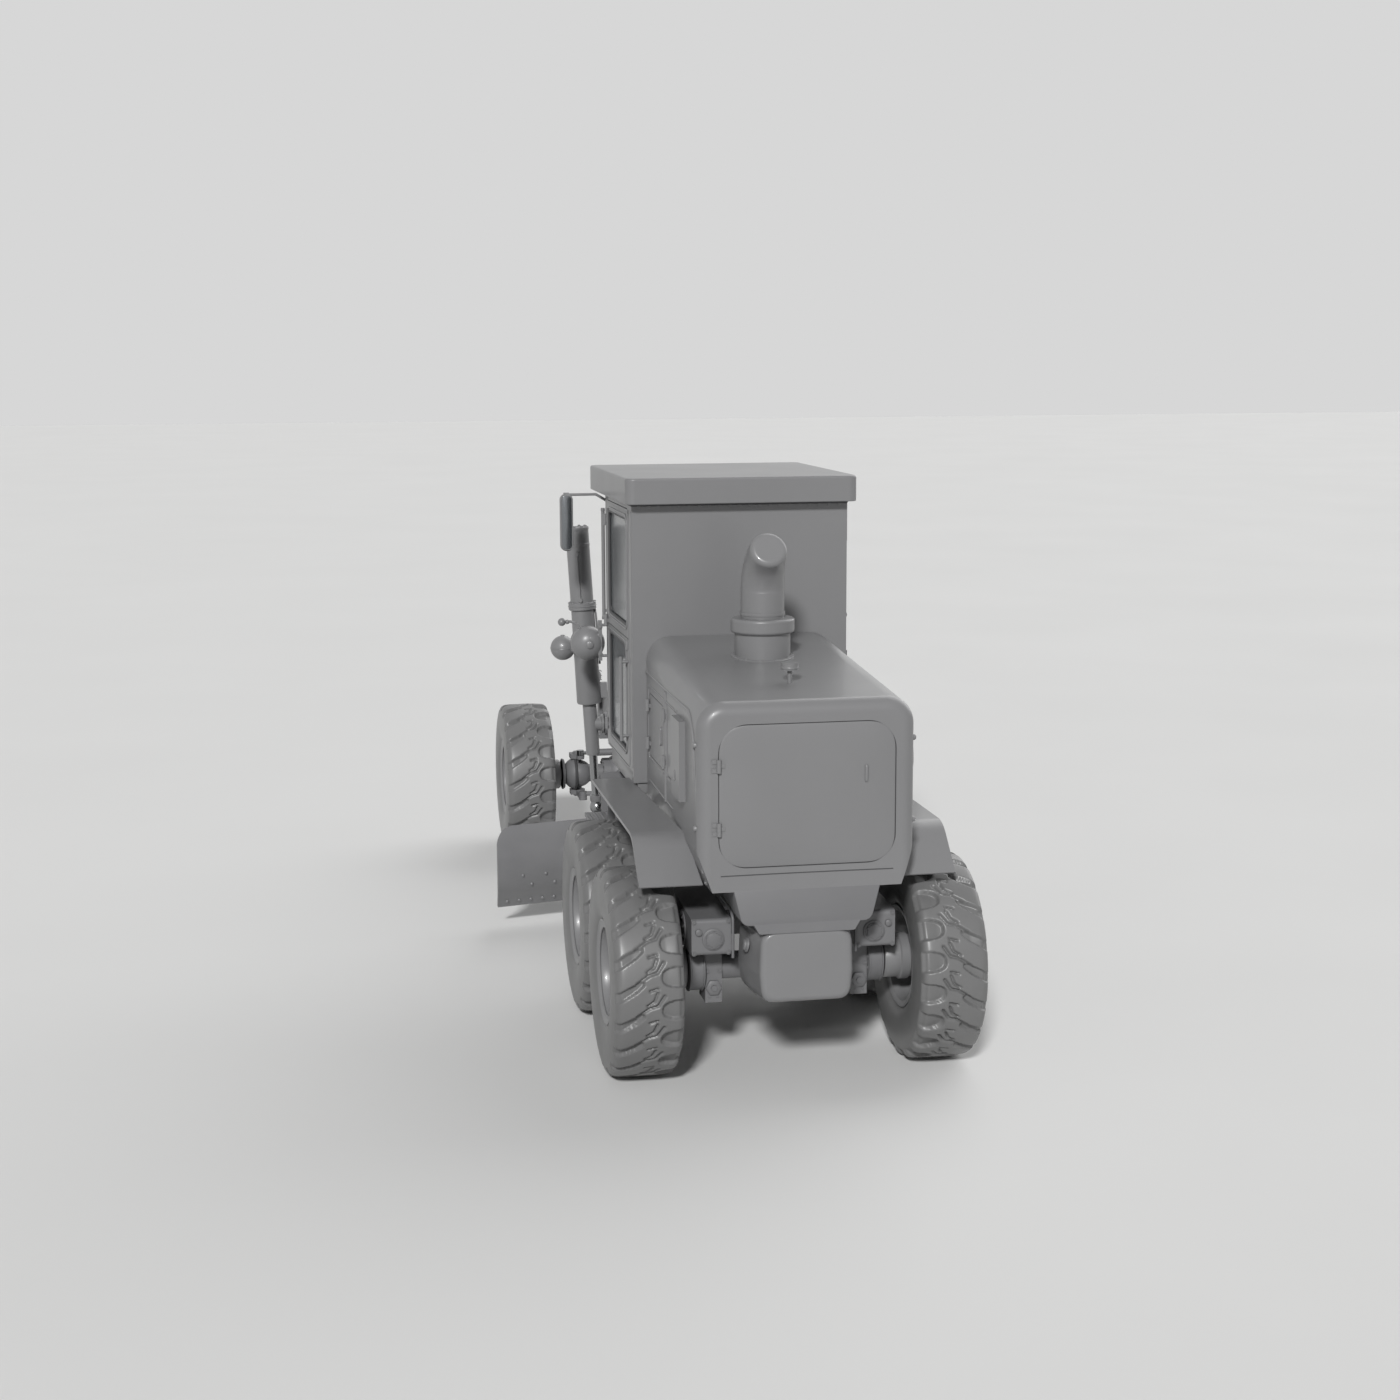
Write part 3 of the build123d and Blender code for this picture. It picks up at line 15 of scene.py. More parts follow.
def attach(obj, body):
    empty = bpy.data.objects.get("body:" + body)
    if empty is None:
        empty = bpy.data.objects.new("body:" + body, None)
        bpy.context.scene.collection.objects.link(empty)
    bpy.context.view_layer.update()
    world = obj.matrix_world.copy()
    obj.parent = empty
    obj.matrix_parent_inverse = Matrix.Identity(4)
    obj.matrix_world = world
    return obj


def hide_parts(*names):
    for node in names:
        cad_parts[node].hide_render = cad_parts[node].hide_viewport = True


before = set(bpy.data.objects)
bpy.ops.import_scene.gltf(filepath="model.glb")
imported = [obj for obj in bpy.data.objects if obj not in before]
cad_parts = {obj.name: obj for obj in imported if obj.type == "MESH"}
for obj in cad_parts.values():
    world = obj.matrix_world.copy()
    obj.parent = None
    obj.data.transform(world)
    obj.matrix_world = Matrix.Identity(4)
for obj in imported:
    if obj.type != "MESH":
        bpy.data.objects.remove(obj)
LOG = logging.getLogger("grader")
Point = Sequence[float]
SIDES = (("left", 1), ("right", -1))
AXLES = {"rear": -3.74, "mid": -2.169, "front": 3.563}
AXLE_Z = 0.745
WHEEL_Y = 1.075
MILLIMETRE = 0.001
NEARLY_STRAIGHT = math.radians(88)
SHARP_EDGE = math.radians(28)
X, Y, Z = Vector((1, 0, 0)), Vector((0, 1, 0)), Vector((0, 0, 1))


def linear(code: str) -> tuple[float, float, float, float]:
    """Turn an sRGB hex code into linear colour.

    Args:
        code: six hex digits after a hash sign.

    Returns:
        Linear red, green and blue, and an alpha of 1.
    """
    parts = [int(code[i : i + 2], 16) / 255 for i in (1, 3, 5)]
    return (*(p / 12.92 if p <= 0.04045 else ((p + 0.055) / 1.055) ** 2.4 for p in parts), 1.0)


def add_node(tree: bpy.types.NodeTree, kind: str, inputs: dict | None = None, **settings: object) -> bpy.types.Node:
    """Add a shader node with its settings and links.

    Args:
        tree: the material's or world's node tree.
        kind: the node's type name.
        inputs: input name or number to a value, or to the output socket that feeds it.
        settings: properties of the node itself.

    Returns:
        The new node.
    """
    made = tree.nodes.new(kind)
    for key, value in settings.items():
        setattr(made, key, value)
    for key, value in (inputs or {}).items():
        if isinstance(value, bpy.types.NodeSocket):
            tree.links.new(value, made.inputs[key])
        else:
            made.inputs[key].default_value = value
    return made


class Texture(Enum):
    """How a surface was made, which sets the form of its fine bumps."""

    SPRAYED = "sprayed"
    CAST = "cast"
    MOULDED = "moulded"
    GROUND = "ground"
    PLAIN = "plain"


@dataclass(frozen=True)
class Finish:
    """A real material and its surface, drawn by nodes, with the record's slot that its pieces usually have.

    Colour drifts slowly between two shades over cloud_mm. Fine bumps have the size grain_mm and the height relief_mm.
    """

    name: str
    slot: str
    colour: str
    shade: str
    roughness: float
    texture: Texture
    grain_mm: float
    relief_mm: float
    cloud_mm: float = 700.0
    metallic: float = 0.0
    ior: float = 1.5
    coat: float = 0.0
    transmission: float = 0.0

    def make(self) -> bpy.types.Material:
        """Build the node material once, and return it."""
        known = bpy.data.materials.get(self.name)
        if known:
            return known
        material = bpy.data.materials.new(self.name)
        material.use_nodes = True
        tree = material.node_tree
        tree.nodes.clear()
        place = add_node(tree, "ShaderNodeTexCoord").outputs["Object"]
        cloud = add_node(tree, "ShaderNodeTexNoise", {"Vector": place, "Scale": 1000 / self.cloud_mm, "Detail": 5.0})
        tint = add_node(tree, "ShaderNodeMix", {"Factor": cloud.outputs["Fac"], "A": linear(self.colour),
                                                "B": linear(self.shade)}, data_type="RGBA")
        wear = add_node(tree, "ShaderNodeMapRange", {
            "Value": cloud.outputs["Fac"], "To Min": self.roughness * 0.85, "To Max": self.roughness * 1.15})
        stretch = (1.0, 14.0, 14.0) if self.texture is Texture.GROUND else (1.0, 1.0, 1.0)
        lay = add_node(tree, "ShaderNodeMapping", {"Vector": place, "Scale": stretch}).outputs["Vector"]
        scale = 1000 / self.grain_mm
        if self.texture is Texture.CAST:
            grain = add_node(tree, "ShaderNodeTexVoronoi", {"Vector": lay, "Scale": scale}, feature="SMOOTH_F1")
            height = grain.outputs["Distance"]
        else:
            grain = add_node(tree, "ShaderNodeTexNoise", {"Vector": lay, "Scale": scale, "Detail": 2.0})
            height = grain.outputs["Fac"]
        bump = add_node(tree, "ShaderNodeBump", {
            "Height": height, "Strength": 1.0, "Distance": self.relief_mm * MILLIMETRE})
        shader = add_node(tree, "ShaderNodeBsdfPrincipled", {
            "Base Color": tint.outputs[2], "Roughness": wear.outputs["Result"], "Metallic": self.metallic,
            "Coat Weight": self.coat, "Transmission Weight": self.transmission, "Normal": bump.outputs["Normal"],
        })
        if not self.metallic:
            shader.inputs["IOR"].default_value = self.ior
        add_node(tree, "ShaderNodeOutputMaterial", {"Surface": shader.outputs["BSDF"]})
        return material


# Two-pack enamel sprayed over pressed steel: a soft gloss with faint orange peel, drawn at 9 mm to show.
BODY_ENAMEL = Finish("grey enamel, sprayed", "body_paint", "#7e7e7f", "#757576", 0.36, Texture.SPRAYED, 9, 0.10,
                     coat=0.12)
# The same enamel brushed on welded plate: duller, with 25 mm waves of the plate in it.
PLATE_ENAMEL = Finish("grey enamel, brushed on plate", "chassis_paint", "#777778", "#6c6c6e", 0.45,
                      Texture.SPRAYED, 25, 0.25, 450)
# Painted sand castings: the sand's 8 mm grain shows through, which breaks up the gloss.
CAST_ENAMEL = Finish("grey enamel on sand castings", "chassis_paint", "#737374", "#676769", 0.52, Texture.CAST, 8,
                     0.35, 300)
# Carbon-filled rubber, moulded, dusted to the photo's grey: a satin skin with a fine 6 mm flow grain.
TYRE_RUBBER = Finish("dusted tyre rubber, moulded", "tyre_rubber", "#727272", "#656565", 0.38, Texture.MOULDED, 6,
                     0.20, 240, ior=1.52)
# Extruded seal and hose rubber: darker than the enamel, so that joints and hoses read as lines. It also draws painted
# shade: dark lines in the hood's seams, latch slots and door gap, and under the roof's edge.
SEAL_RUBBER_AND_SHADE = Finish("seal rubber, extruded, and painted shade", "body_paint", "#4a4a4b", "#404041", 0.55, Texture.MOULDED, 4, 0.10, 200,
                     ior=1.52)
# Rolled wear steel with worn enamel: brighter, and streaked along the board by the soil it moves.
WORN_STEEL = Finish("worn blade steel, rolled", "blade_steel", "#828283", "#707072", 0.34, Texture.GROUND, 60, 0.15,
                    350)
# Zinc-plated fasteners and pins: a pale satin metal.
ZINC = Finish("zinc-plated steel, dull", "console_plastic", "#8c8c8d", "#808082", 0.40, Texture.PLAIN, 12, 0.05, 200,
              metallic=0.6)
# Hard chrome, ground round the rod: bright, with a close grind.
ROD_CHROME = Finish("hard chrome, ground", "rod_chrome", "#9a9b9c", "#8e8f90", 0.24, Texture.GROUND, 12, 0.02, 300,
                    metallic=1.0)
# Tempered glass under grey dust, as the photo shows it: a smooth skin that lets a little of the cab through.
DUSTY_GLASS = Finish("dusty tempered glass, float", "window_glass", "#74787a", "#6b6f72", 0.16, Texture.PLAIN, 400,
                     0.05, 500, ior=1.52, transmission=0.35)
# Silvered mirror glass under the same dust.
MIRROR_GLASS = Finish("silvered mirror glass, dusty float", "body_paint", "#8b8e91", "#828588", 0.22, Texture.PLAIN,
                      400, 0.02, metallic=1.0)
# Pressed lamp glass: a clear pale lens with faint flutes.
LAMP_GLASS = Finish("lamp glass, pressed", "window_glass", "#c6c8ca", "#b9bbbd", 0.14, Texture.GROUND, 30, 0.6,
                    ior=1.52, transmission=0.3)
# Grained vinyl over foam on the seat.
SEAT_VINYL = Finish("seat vinyl, grained", "seat_vinyl", "#47484a", "#3d3e40", 0.60, Texture.CAST, 5, 0.25, 180,
                    ior=1.46)
# Moulded ABS of the console, with a fine spark-eroded grain.
CONSOLE_ABS = Finish("console plastic, moulded", "console_plastic", "#5a5b5d", "#505153", 0.50, Texture.CAST, 4, 0.15,
                     250, ior=1.53)
# The studio's floor: a matt pale sheet that keeps the machine's shadow.
STUDIO_FLOOR = Finish("pale studio floor", "", "#e6e6e5", "#e2e2e1", 0.9, Texture.PLAIN, 300, 0.02, 4000)


def rounded(points: Sequence[Point], radius: float, steps: int = 4, closed: bool = True) -> list[Vector]:
    """Round the corners of a polyline with arcs.

    Args:
        points: corners, in two or three dimensions.
        radius: the arcs' radius; a corner with short sides gets a smaller one.
        steps: segments in each arc.
        closed: whether the last corner joins the first.

    Returns:
        The new points.
    """
    corners = [Vector(p) for p in points]
    out: list[Vector] = []
    for i, corner in enumerate(corners):
        if not closed and i in (0, len(corners) - 1):
            out.append(corner)
            continue
        before, after = corners[i - 1] - corner, corners[(i + 1) % len(corners)] - corner
        half = before.angle(after) / 2
        if half > NEARLY_STRAIGHT:
            out.append(corner)
            continue
        reach = min(radius / math.tan(half), 0.49 * before.length, 0.49 * after.length)
        start, end = corner + before.normalized() * reach, corner + after.normalized() * reach
        for t in (k / steps for k in range(steps + 1)):
            out.append((1 - t) ** 2 * start + 2 * t * (1 - t) * corner + t**2 * end)
    return out


def bend(points: Sequence[Point], radius: float, steps: int = 4) -> list[Vector]:
    """Round the inner corners of an open line, as a bent bar or pipe has them."""
    return rounded(points, radius, steps, closed=False)


def slack(points: Sequence[Point], steps: int = 6) -> list[Vector]:
    """Pass a smooth line through points, with a number of segments between two of them."""
    p = [Vector(q) for q in points]
    p = [2 * p[0] - p[1], *p, 2 * p[-1] - p[-2]]
    out = []
    for a, b, c, d in zip(p, p[1:], p[2:], p[3:]):
        for t in (k / steps for k in range(steps)):
            out.append(0.5 * ((2 * b) + (c - a) * t + (2 * a - 5 * b + 4 * c - d) * t**2
                              + (3 * b - 3 * c + d - a) * t**3))
    return out + [p[-2]]


def tangents(path: Sequence[Vector]) -> list[Vector]:
    """Return the direction that an open line has at each of its points."""
    last = len(path) - 1
    return [(path[min(k + 1, last)] - path[max(k - 1, 0)]).normalized() for k in range(last + 1)]


def circle(radius: float, count: int, shift: float = 0.0) -> list[Point]:
    """Return evenly spread points of a circle, moved round by a share of their step."""
    turns = (math.tau * (k + shift) / count for k in range(count))
    return [(radius * math.cos(t), radius * math.sin(t)) for t in turns]


def rect(low: Point, high: Point) -> list[Point]:
    """Return a flat rectangle's corners, from its lowest and highest one."""
    return [(low[0], low[1]), (high[0], low[1]), (high[0], high[1]), (low[0], high[1])]


def band(half: float, foot: float, flat: float, radius: float) -> list[Point]:
    """Return a raised ring's outline: half width and radius at its feet, and of the flat between its chamfers."""
    return [(-half, foot), (-flat, radius), (flat, radius), (half, foot)]


def laid(points: Iterable[Point], place: Matrix) -> list[Vector]:
    """Return flat points laid in a frame's X and Y."""
    return [place @ Vector((p[0], p[1], 0)) for p in points]


def facing(origin: Point, normal: Point, up: Point = Z) -> Matrix:
    """Return the matrix of a frame whose Z is a normal and whose Y is near a given up.

    Args:
        origin: where the frame stands.
        normal: its Z direction.
        up: the direction that its Y follows.

    Returns:
        A 4x4 matrix.
    """
    z = Vector(normal).normalized()
    x = Vector(up).cross(z)
    x = x.normalized() if x.length > 1e-6 else (Y if abs(z.z) > 0.9 else X)
    y = z.cross(x)
    return Matrix(((x.x, y.x, z.x, origin[0]), (x.y, y.y, z.y, origin[1]), (x.z, y.z, z.z, origin[2]), (0, 0, 0, 1)))


def stand(mesh: bpy.types.Mesh, name: str, body: str, slot: str, *nodes: str,
          place: Matrix | None = None) -> bpy.types.Object:
    """Put a mesh in the scene as a piece of the machine.

    Args:
        mesh: the finished mesh.
        name: the piece's name.
        body: the CAD body that it moves with.
        slot: the record's material slot; not used.
        nodes: CAD nodes that it stands for.
        place: where it stands, if its mesh isn't in the machine's frame.

    Returns:
        The piece.
    """
    piece = bpy.data.objects.new(name, mesh)
    bpy.context.scene.collection.objects.link(piece)
    if place:
        piece.matrix_world = place
        bpy.context.view_layer.update()
    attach(piece, body)
    if nodes:
        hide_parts(*nodes)
    LOG.info("%s: %d faces on %s", name, len(mesh.polygons), body)
    return piece


class Shape:
    """One mesh, built up from solids that rest in or on each other. Each adding method returns the shape itself."""

    def __init__(self, bm: bmesh.types.BMesh | None = None) -> None:
        """Start empty, or with a mesh."""
        self.bm = bmesh.new() if bm is None else bm

    def absorb(self, part: bmesh.types.BMesh, place: Matrix | None = None) -> "Shape":
        """Move a part's mesh into this one, in a given frame, and free it."""
        mesh = bpy.data.meshes.new("part")
        part.to_mesh(mesh)
        part.free()
        if place:
            mesh.transform(place)
        self.bm.from_mesh(mesh)
        bpy.data.meshes.remove(mesh)
        return self

    def grid(self, rows: Sequence[Sequence[Point]], ring: bool = True, caps: bool = True) -> "Shape":
        """Skin rows of points with quads.

        Args:
            rows: rows of equally many points.
            ring: whether each row closes on itself.
            caps: whether the first and last rows are filled.

        Returns:
            This shape.
        """
        part = bmesh.new()
        made = [[part.verts.new(p) for p in row] for row in rows]
        for low, high in zip(made, made[1:]):
            for i in range(len(low) if ring else len(low) - 1):
                j = (i + 1) % len(low)
                part.faces.new((low[i], low[j], high[j], high[i]))
        if ring and caps:
            part.faces.new(made[0][::-1])
            part.faces.new(made[-1])
        bmesh.ops.recalc_face_normals(part, faces=part.faces)
        return self.absorb(part)

    def lathe(self, outline: Sequence[Point], centre: Point, axis: Point, sides: int = 48,
              hollow: bool = False) -> "Shape":
        """Turn an outline of (along, radius) about an axis.

        Args:
            outline: points from one end to the other; the ends may lie on the axis.
            centre: where along is 0.
            axis: the turning axis.
            sides: facets round it.
            hollow: whether the outline is a loop, which leaves the middle open.

        Returns:
            This shape.
        """
        part = bmesh.new()
        rings = []
        for along, radius in outline:
            ring = [(0, 0)] if radius < 1e-6 else circle(radius, sides)
            rings.append([part.verts.new((*p, along)) for p in ring])
        for low, high in zip(rings, rings[1:] + rings[:1] if hollow else rings[1:]):
            for i in range(sides):
                j = (i + 1) % sides
                corners = [low[i % len(low)], low[j % len(low)], high[j % len(high)], high[i % len(high)]]
                part.faces.new(list(dict.fromkeys(corners)))
        for end in (rings[0], rings[-1]):
            if len(end) > 1 and not hollow:
                part.faces.new(end)
        bmesh.ops.recalc_face_normals(part, faces=part.faces)
        return self.absorb(part, facing(centre, axis))

    def prism(self, outline: Sequence[Point], place: Matrix, depth: float, edge: float = 0.004,
              steps: int = 2) -> "Shape":
        """Push a polygon along its frame's Z, with its edges rounded over.

        Args:
            outline: (x, y) corners in the frame.
            place: the frame.
            depth: how far it is pushed.
            edge: the size of the rounding.
            steps: segments of the rounding.

        Returns:
            This shape.
        """
        part = bmesh.new()
        face = part.faces.new([part.verts.new((p[0], p[1], 0)) for p in outline])
        lifted = bmesh.ops.extrude_face_region(part, geom=[face])["geom"]
        bmesh.ops.translate(part, vec=(0, 0, depth), verts=[v for v in lifted if isinstance(v, bmesh.types.BMVert)])
        bmesh.ops.recalc_face_normals(part, faces=part.faces)
        if edge:
            sharp = [e for e in part.edges if e.calc_face_angle(0) > SHARP_EDGE]
            bmesh.ops.bevel(part, geom=sharp, offset=edge, segments=steps, profile=0.5, affect="EDGES",
                            clamp_overlap=True)
        return self.absorb(part, place)

    def slab(self, low: Point, high: Point, edge: float = 0.004, steps: int = 2) -> "Shape":
        """Add a box between its lowest and highest corner, with edges rounded over in some steps."""
        return self.prism(rect(low, high), Matrix.Translation((0, 0, low[2])), high[2] - low[2], edge, steps)

    def sweep(self, path: Sequence[Point], radius: float, sides: int = 12, closed: bool = False) -> "Shape":
        """Run a round bar, tube or bead along a path.

        Args:
            path: its points.
            radius: the bar's radius.
            sides: facets round it.
            closed: whether the last point joins the first.

        Returns:
            This shape.
        """
        points = [Vector(p) for p in path]
        if closed:
            points = [points[-1], *points, points[0]]
        runs = [b - a for a, b in zip(points, points[1:])]
        headings = [runs[0], *((a.normalized() + b.normalized()) for a, b in zip(runs, runs[1:])), runs[-1]]
        if closed:
            points, headings = points[1:-1], headings[1:-1]
        side = headings[0].orthogonal().normalized()
        rows = []
        for point, heading in zip(points, headings):
            heading = heading.normalized()
            side = (side - heading * side.dot(heading)).normalized()
            other = heading.cross(side)
            rows.append([point + a * side + b * other for a, b in circle(radius, sides)])
        return self.grid(rows + rows[:1], caps=False) if closed else self.grid(rows)

    def bolts(self, places: Iterable[Point], axis: Point, across: float = 0.024) -> "Shape":
        """Set washered hex heads.

        Args:
            places: where the washers lie on the surface.
            axis: the way the heads point.
            across: a head's size over its flats.

        Returns:
            This shape.
        """
        r, h = across / math.sqrt(3), across * 0.62
        for place in places:
            foot = Vector(place) - Vector(axis).normalized() * 0.003
            self.lathe(((0, across), (0.0055, across * 0.98), (0.007, across * 0.9), (0.007, 0)), foot, axis, 14)
            self.lathe(((0.006, r), (0.003 + h * 0.85, r), (0.003 + h, r * 0.82), (0.003 + h, 0)), foot, axis, 6)
        return self

    def ring_bolts(self, centre: Point, axis: Point, radius: float, count: int, across: float = 0.024) -> "Shape":
        """Set a ring of bolts round a centre on the surface.

        Args:
            centre: the ring's middle.
            axis: the way the heads point.
            radius: the ring's radius.
            count: how many.
            across: a head's size over its flats.

        Returns:
            This shape.
        """
        return self.bolts(laid(circle(radius, count, 0.5), facing(centre, axis)), axis, across)

    def flip(self) -> "Shape":
        """Mirror the shape to the machine's other side."""
        bmesh.ops.scale(self.bm, vec=(1, -1, 1), verts=self.bm.verts)
        bmesh.ops.reverse_faces(self.bm, faces=self.bm.faces)
        return self

    def twin(self) -> "Shape":
        """Add the mirror image on the machine's other side."""
        return self.absorb(Shape(self.bm.copy()).flip().bm)

    def mesh(self, name: str, finish: Finish, crease: float = 38.0) -> bpy.types.Mesh:
        """Turn the shape into a mesh, smooth but for creases over an angle in degrees."""
        made = bpy.data.meshes.new(name)
        self.bm.to_mesh(made)
        self.bm.free()
        made.shade_smooth()
        made.set_sharp_from_angle(angle=math.radians(crease))
        made.materials.append(finish.make())
        return made

    def stand(self, name: str, finish: Finish, *nodes: str, body: str = "chassis", slot: str = "",
              crease: float = 38.0) -> bpy.types.Object:
        """Put the shape in the scene as a piece of the machine.

        Args:
            name: the piece's name.
            finish: its material.
            nodes: CAD nodes that it stands for.
            body: the CAD body that it moves with.
            slot: the record's slot, if it isn't the finish's usual one.
            crease: edges that turn more than this, in degrees, stay sharp.

        Returns:
            The piece.
        """
        return stand(self.mesh(name, finish, crease), name, body, slot or finish.slot, *nodes)


@dataclass
class Tyre:
    """A moulded tyre: rounded pockets in both shoulders, and a broken groove between them."""

    pitches: int = 20
    per_pitch: int = 28
    pitch_radius: float = 0.744
    crown: float = 0.740
    tread_half: float = 0.335
    pocket_depth: float = 0.042
    groove_depth: float = 0.030
    wall: float = 0.010
    section: tuple[Point, ...] = (
        (0.203, 0.352), (0.206, 0.366), (0.216, 0.381), (0.229, 0.402), (0.241, 0.44), (0.2475, 0.49), (0.2495, 0.535),
        (0.2485, 0.59), (0.244, 0.64), (0.2385, 0.678), (0.229, 0.704), (0.212, 0.723), (0.185, 0.7335),
        (0.12, 0.7382), (0.05, 0.7397),
    )

    def rows(self) -> np.ndarray:
        """Return the section's points and outward normals, from the inboard to the outboard bead, as (n, 4)."""
        half = [Vector(p) for p in self.section]
        line = slack([(-p.x, p.y) for p in half] + [(0, self.crown)] + [(p.x, p.y) for p in reversed(half)], 8)
        dense = np.array([(p.x, p.y) for p in line])
        along = np.concatenate(([0], np.cumsum(np.hypot(*np.diff(dense, axis=0).T))))
        low, high = along[-1] / 2 - self.tread_half, along[-1] / 2 + self.tread_half
        places = np.concatenate((np.linspace(0, low, 17)[:-1], np.linspace(low, high, 76),
                                 np.linspace(high, along[-1], 17)[1:]))
        at = np.stack([np.interp(places, along, dense[:, k]) for k in (0, 1)], axis=1)
        run = np.gradient(at, axis=0)
        normal = np.stack((-run[:, 1], run[:, 0]), axis=1) / np.hypot(*run.T)[:, None]
        return np.concatenate((at, normal), axis=1)

    def relief(self, s: np.ndarray, y: np.ndarray, pitch: float) -> np.ndarray:
        """Return how deep the tread is cut at places along the pitch and across the tyre.

        Args:
            s: along the tread, metres.
            y: across it, outboard positive.
            pitch: the pattern's length.

        Returns:
            Depths, metres.
        """
        def pocket(centre_s: float, centre_y: float, half_s: float, half_y: float, slope: float) -> np.ndarray:
            """Return a soft-walled mask of a D-shaped pocket."""
            best = np.full(s.shape, 1.0)
            for turn in (-1, 0, 1):
                ds = s - centre_s - turn * pitch - slope * (y - centre_y)
                dy = y - centre_y
                f = ((np.abs(ds / half_s)) ** 2.8 + (np.abs(dy / half_y)) ** 2.8) ** (1 / 2.8)
                best = np.minimum(best, np.hypot(ds, dy) * (1 - 1 / np.maximum(f, 1e-3)))
            return np.clip(0.5 - best / self.wall, 0, 1)

        def groove(points: Sequence[Point], width: float) -> np.ndarray:
            """Return a soft mask of a groove along a polyline of (s, y)."""
            best = np.full(s.shape, 1.0)
            for turn in (-1, 0, 1):
                for a, b in zip(points, points[1:]):
                    ps, py = s - a[0] - turn * pitch, y - a[1]
                    rs, ry = b[0] - a[0], b[1] - a[1]
                    t = np.clip((ps * rs + py * ry) / (rs**2 + ry**2), 0, 1)
                    best = np.minimum(best, np.hypot(ps - t * rs, py - t * ry))
            return np.clip(1.3 - best / (width / 2), 0, 1)

        deep = np.maximum(pocket(0.086, -0.245, 0.074, 0.168, 0), pocket(0.226, 0.235, 0.036, 0.19, 0.55))
        deep = deep**2 * (3 - 2 * deep) * self.pocket_depth
        zigzag = groove(((-0.02, -0.092), (0.05, -0.046), (0.066, 0.014), (0.125, 0.1)), 0.02)
        hook = groove(((0.16, -0.046), (0.176, 0.01)), 0.017)
        tail = groove(((0.19, -0.044), (0.248, -0.022), (0.28, 0.026)), 0.018)
        return np.maximum(deep, np.maximum(zigzag, np.maximum(hook, tail)) * self.groove_depth)

    def build(self, outboard: int) -> bpy.types.Mesh:
        """Build one tyre about its own centre: 1 is outboard for a left-hand tyre, -1 for a right-hand one."""
        rows = self.rows()
        pitch = math.tau * self.pitch_radius / self.pitches
        s, y = np.meshgrid(np.arange(self.per_pitch) / self.per_pitch * pitch, rows[:, 0], indexing="ij")
        # The pattern fades out down the side wall, and is shallower towards the shoulder's edge
        fade = np.clip((rows[:, 1] - 0.664) / 0.035, 0, 1)
        fade = fade**2 * (3 - 2 * fade) * np.clip(1.45 - 0.9 * np.abs(rows[:, 0]) / 0.235, 0.4, 1)
        cut = np.tile(self.relief(s, y, pitch) * fade, (self.pitches, 1))
        around = self.pitches * self.per_pitch
        turn = math.tau * np.arange(around) / around
        across = rows[None, :, 0] - cut * rows[None, :, 2]
        radius = rows[None, :, 1] - cut * rows[None, :, 3]
        co = np.stack((-radius * np.cos(turn)[:, None], outboard * across, -radius * np.sin(turn)[:, None]), axis=2)
        count = len(rows)
        i, j = np.meshgrid(np.arange(around), np.arange(count - 1), indexing="ij")
        n = (i + 1) % around
        quads = np.stack((i * count + j, i * count + j + 1, n * count + j + 1, n * count + j), axis=2).reshape(-1, 4)
        if outboard > 0:
            quads = quads[:, ::-1]
        mesh = bpy.data.meshes.new("tyre")
        mesh.from_pydata(co.reshape(-1, 3).tolist(), [], quads.tolist())
        mesh.shade_smooth()
        mesh.materials.append(TYRE_RUBBER.make())
        return mesh


@dataclass
class Wheel:
    """A deep-dished disc wheel: rolled barrel, pressed disc, hub with a ring of nuts, and clamp bolts."""

    outline: tuple[Point, ...] = (
        (0.074, 0), (0.074, 0.052), (0.07, 0.06), (0.0625, 0.064), (0.06, 0.096), (0.054, 0.104), (0.046, 0.105),
        (0.046, 0.2), (0.05, 0.214), (0.062, 0.226), (0.064, 0.262), (0.06, 0.276), (0.05, 0.29), (0.056, 0.3),
        (0.08, 0.304), (0.15, 0.308), (0.194, 0.316), (0.21, 0.328), (0.214, 0.346), (0.22, 0.36), (0.2235, 0.366),
        (0.2225, 0.3725), (0.2165, 0.374), (0.21, 0.368), (0.205, 0.352), (0.2, 0.334), (-0.2, 0.334),
        (-0.205, 0.352), (-0.21, 0.368), (-0.2165, 0.374), (-0.2225, 0.3725), (-0.2235, 0.366), (-0.22, 0.36),
        (-0.214, 0.346), (-0.21, 0.328), (-0.194, 0.316), (-0.15, 0.308), (-0.01, 0.304), (0.01, 0.292),
        (0.018, 0.26), (0.018, 0.17), (-0.01, 0.156), (-0.16, 0.152), (-0.17, 0.168), (-0.23, 0.168),
        (-0.24, 0.152), (-0.34, 0.15), (-0.355, 0.142), (-0.355, 0.062), (-0.015, 0.062), (-0.015, 0),
    )
    # Rings of nuts and bolts: count, radius, place along the axle, shift round it, size over the flats
    fasteners: tuple[tuple[int, float, float, float, float], ...] = (
        (10, 0.152, 0.046, 0, 0.034), (20, 0.244, 0.0635, 0, 0.024), (6, 0.078, 0.0615, 0.5, 0.016))

    def build(self, outboard: int) -> bpy.types.Mesh:
        """Build one wheel about its own centre: 1 is outboard for a left-hand wheel, -1 for a right-hand one."""
        out = Vector((0, outboard, 0))
        shape = Shape().lathe(self.outline, (0, 0, 0), out, 72)
        for count, radius, along, shift, across in self.fasteners:
            shape.bolts([(a, outboard * along, b) for a, b in circle(radius, count, shift)], out, across)
        # Lock ring of the rim, and the valve stem lying along the dish
        shape.lathe(((0.196, 0.3175), (0.2055, 0.312), (0.2105, 0.3165), (0.2105, 0.329)), (0, 0, 0), out, 72, True)
        stem = [(0, outboard * y, z) for y, z in ((0.052, 0.292), (0.08, 0.288), (0.165, 0.292))]
        shape.sweep(bend(stem, 0.02), 0.006, 8)
        shape.lathe(((0, 0.0095), (0.022, 0.0095), (0.025, 0.006), (0.025, 0)), (0, outboard * 0.158, 0.292), out, 10)
        return shape.mesh("wheel", BODY_ENAMEL, 32)


